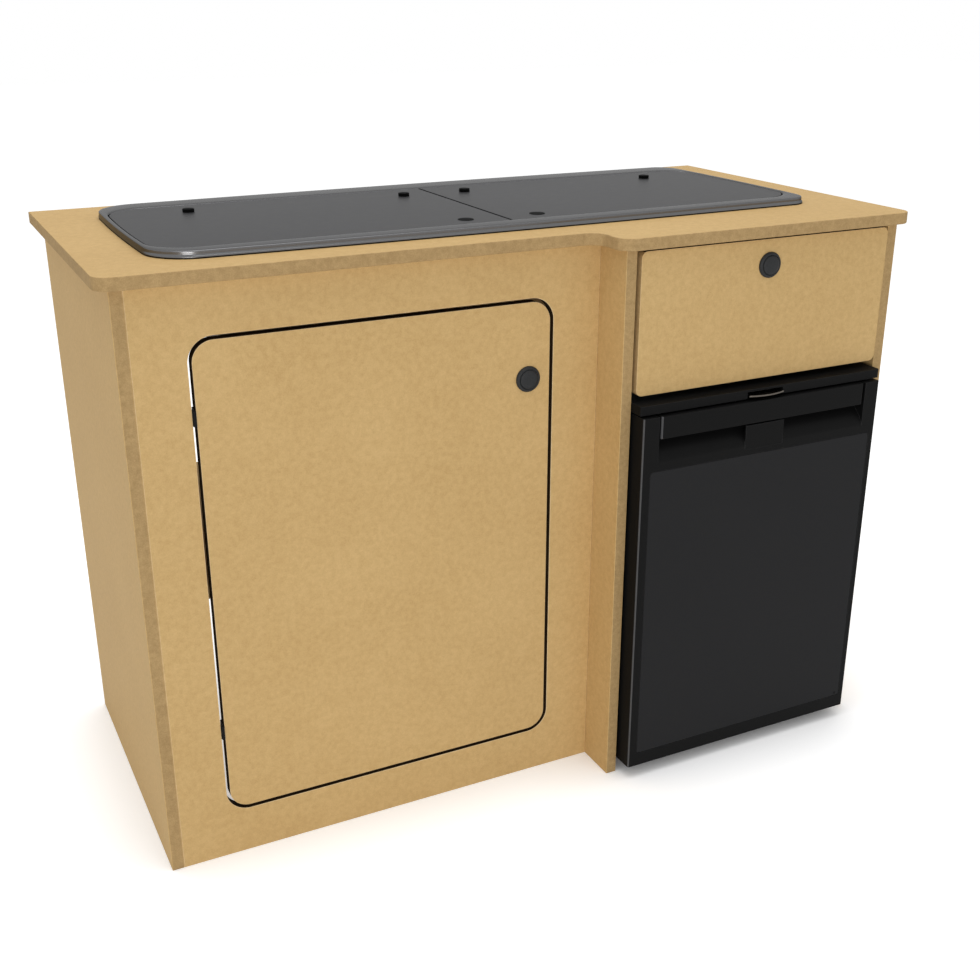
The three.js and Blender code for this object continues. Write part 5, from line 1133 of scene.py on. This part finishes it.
# Lighter grey on the fridge's outer edges: a painted highlight along its rounded edges.
BODY_EDGE_HIGHLIGHT = color(66, 66, 67)
WHITE_TONES = color(214, 214, 210), color(232, 232, 229)
LEATHERED = (2400, 420, 15)
fridge_black = grained(
    "fridge_black", BODY_TONES, (0.42, 0.52), 0.0, LEATHERED, 0.06, 0.05, (BODY_EDGE_HIGHLIGHT, 0.5), 0.05
)
white_plastic = grained("white_plastic", WHITE_TONES, (0.3, 0.42), 0.0, (800, 90, 8), 0.03, 0.05)

cabinet = copy_of("fridge_cabinet", "fridge_body", 1.2, 3)
paint(cabinet, fridge_black, white_plastic)
low = place(*(side[0] - 0.5 for side in CAVITY))
high = place(*(side[1] + 0.5 for side in CAVITY))
for side in cabinet.data.polygons:
    inside = all(low[axis] < side.center[axis] < high[axis] for axis in range(3))
    side.material_index = 1 if inside and side.center.y > low.y + mm(2) else 0
mount(cabinet, "cabinet", "grey_plastic", "fridge_cabinet")

dressed("fridge_base_plate", "fridge_base", black_metal, "cabinet", "black_metal", 0.4)
for node in ("fridge_shelf_upper", "fridge_shelf_lower"):
    dressed(node, node + "_wires", white_plastic, "cabinet", "white_plastic", 0.9, 3, 40)
cooling_name = "compressor_and_condenser"
dressed("cooling_unit", cooling_name, black_metal, "cabinet", "black_metal", 0.5)

# Fridge top trim. A black moulded bar across the top of the door, with a recess at its middle
# for a small steel lever latch, which turns on its own pin. The latch's left tip is chrome, a
# painted highlight, and the rest a dark warm steel, a painted dark reflection.
LATCH_DARK_REFLECTION_TONES = color(74, 69, 64), color(100, 94, 87)
LATCH_HIGHLIGHT_LENGTH = 7
latch_steel_dark_reflection = grained("latch_steel_dark_reflection", LATCH_DARK_REFLECTION_TONES, (0.2, 0.3), 1.0, (900, 100, 10), 0.02, 0.02)
dressed("fridge_top_trim", "fridge_trim_bar", fridge_black, "cabinet", "grey_plastic", 0.8, 3)

latch = copy_of("fridge_latch_lever", "fridge_latch", 0.4, 3)
paint(latch, latch_steel_dark_reflection, chrome)
# The chrome left tip is a painted highlight, the darker rest a painted reflection.
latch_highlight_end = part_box("fridge_latch_lever")[0][0] + mm(LATCH_HIGHLIGHT_LENGTH)
for side in latch.data.polygons:
    side.material_index = int(side.center.x < latch_highlight_end)
mount(latch, "fridge_latch", "stainless", "fridge_latch_lever")

# Fridge door. A black moulded shell with a grip recess under a bar, a bare raised block in
# it, a lighter inset panel, a magnetic seal, and a white liner with two bottle racks.
SHELL = ((614, 994), (-86.3, -48), (20, 529))
SHELL_ROUND = 3
SCOOP_SIDES = (638, 970)
SCOOP = [(-95, 467), (-86.4, 467), (-86, 470), (-84.6, 474), (-81.5, 479), (-77, 484)]
SCOOP += [(-71.5, 488.5), (-66, 493), (-63, 497), (-62.3, 502), (-62.3, 535), (-95, 535)]
BADGE = ((773.5, 834.5), (464, 497))
BADGE_THICK = 3
PANEL_SPACE = ((627, 984.5), (39.5, 456.5), 5.5)
PANEL_BACK = -84
PIN = (983.5, -72, 2.6)
PIN_HEIGHTS = ((18, 30.2), (518.8, 531))
HIGHLIGHT_LEAN = -0.35
DOT = (977, 44)
# A lighter grey for the fridge's rounded front left edges: a painted highlight.
EDGE_HIGHLIGHT_TONES = color(70, 70, 71), color(84, 84, 85)
PANEL_TONES = color(36, 36, 37), color(40, 40, 41)
fridge_edge_highlight = grained("fridge_edge_highlight", EDGE_HIGHLIGHT_TONES, (0.42, 0.52), 0.0, LEATHERED, gloss=0.1)
panel_black = grained(
    "panel_black", PANEL_TONES, (0.48, 0.58), 0.0, (2600, 420, 6), 0.05, 0.05,
    (BODY_EDGE_HIGHLIGHT, 0.3), 0.05
)
shell = block("fridge_door_body", *zip(*SHELL))
round_corners(shell, 2, SHELL_ROUND, 8)
cut(shell, ringed("scoop", [[(x, y, z) for y, z in SCOOP] for x in SCOOP_SIDES], False))
badge_low = (BADGE[0][0], SHELL[1][0], BADGE[1][0])
add(shell, block("badge", badge_low, (BADGE[0][1], SHELL[1][0] + BADGE_THICK, BADGE[1][1])))
space_low = (PANEL_SPACE[0][0], SHELL[1][0] - SHELL_ROUND, PANEL_SPACE[1][0])
space = block("panel_space", space_low, (PANEL_SPACE[0][1], PANEL_BACK, PANEL_SPACE[1][1]))
round_corners(space, 1, PANEL_SPACE[2], 8)
cut(shell, space)
for low, high in PIN_HEIGHTS:
    cut(shell, plug(PIN[2], (PIN[0], PIN[1], (low + high) / 2), 2, (high - low) / 2))
ease(shell, 0.6)


def highlight_left_edges(piece):
    """The fridge's black with its rounded front left edges painted lighter grey, a painted
    highlight.
    """
    paint(piece, fridge_black, fridge_edge_highlight)
    for side in piece.data.polygons:
        side.material_index = int(side.normal.x < HIGHLIGHT_LEAN and side.normal.y < HIGHLIGHT_LEAN)


highlight_left_edges(shell)
mount(shell, "fridge_door", "grey_plastic", "fridge_door_shell")

dressed("fridge_door_panel", "fridge_panel", panel_black, "fridge_door", "panel", 0.5, 3)

bar = copy_of("fridge_handle_bar", "fridge_grip_bar", 1.5, 4)
highlight_left_edges(bar)
mount(bar, "fridge_door", "grey_plastic", "fridge_handle_bar")

profile = [(0, -86.9), (1.8, -86.85), (2.4, -86.6), (2.4, -86.1), (0, -86.1)]
dot = turned("panel_dot", profile, (DOT[0], 0, DOT[1]), 1, 32)
finish(dot, fridge_black, "fridge_door", "grey_plastic")

dressed("fridge_door_seal", "fridge_gasket", rubber, "fridge_door", "rubber", 1.2, 3)
dressed("fridge_door_liner", "fridge_liner", white_plastic, "fridge_door", "white_plastic", 0.8, 3)
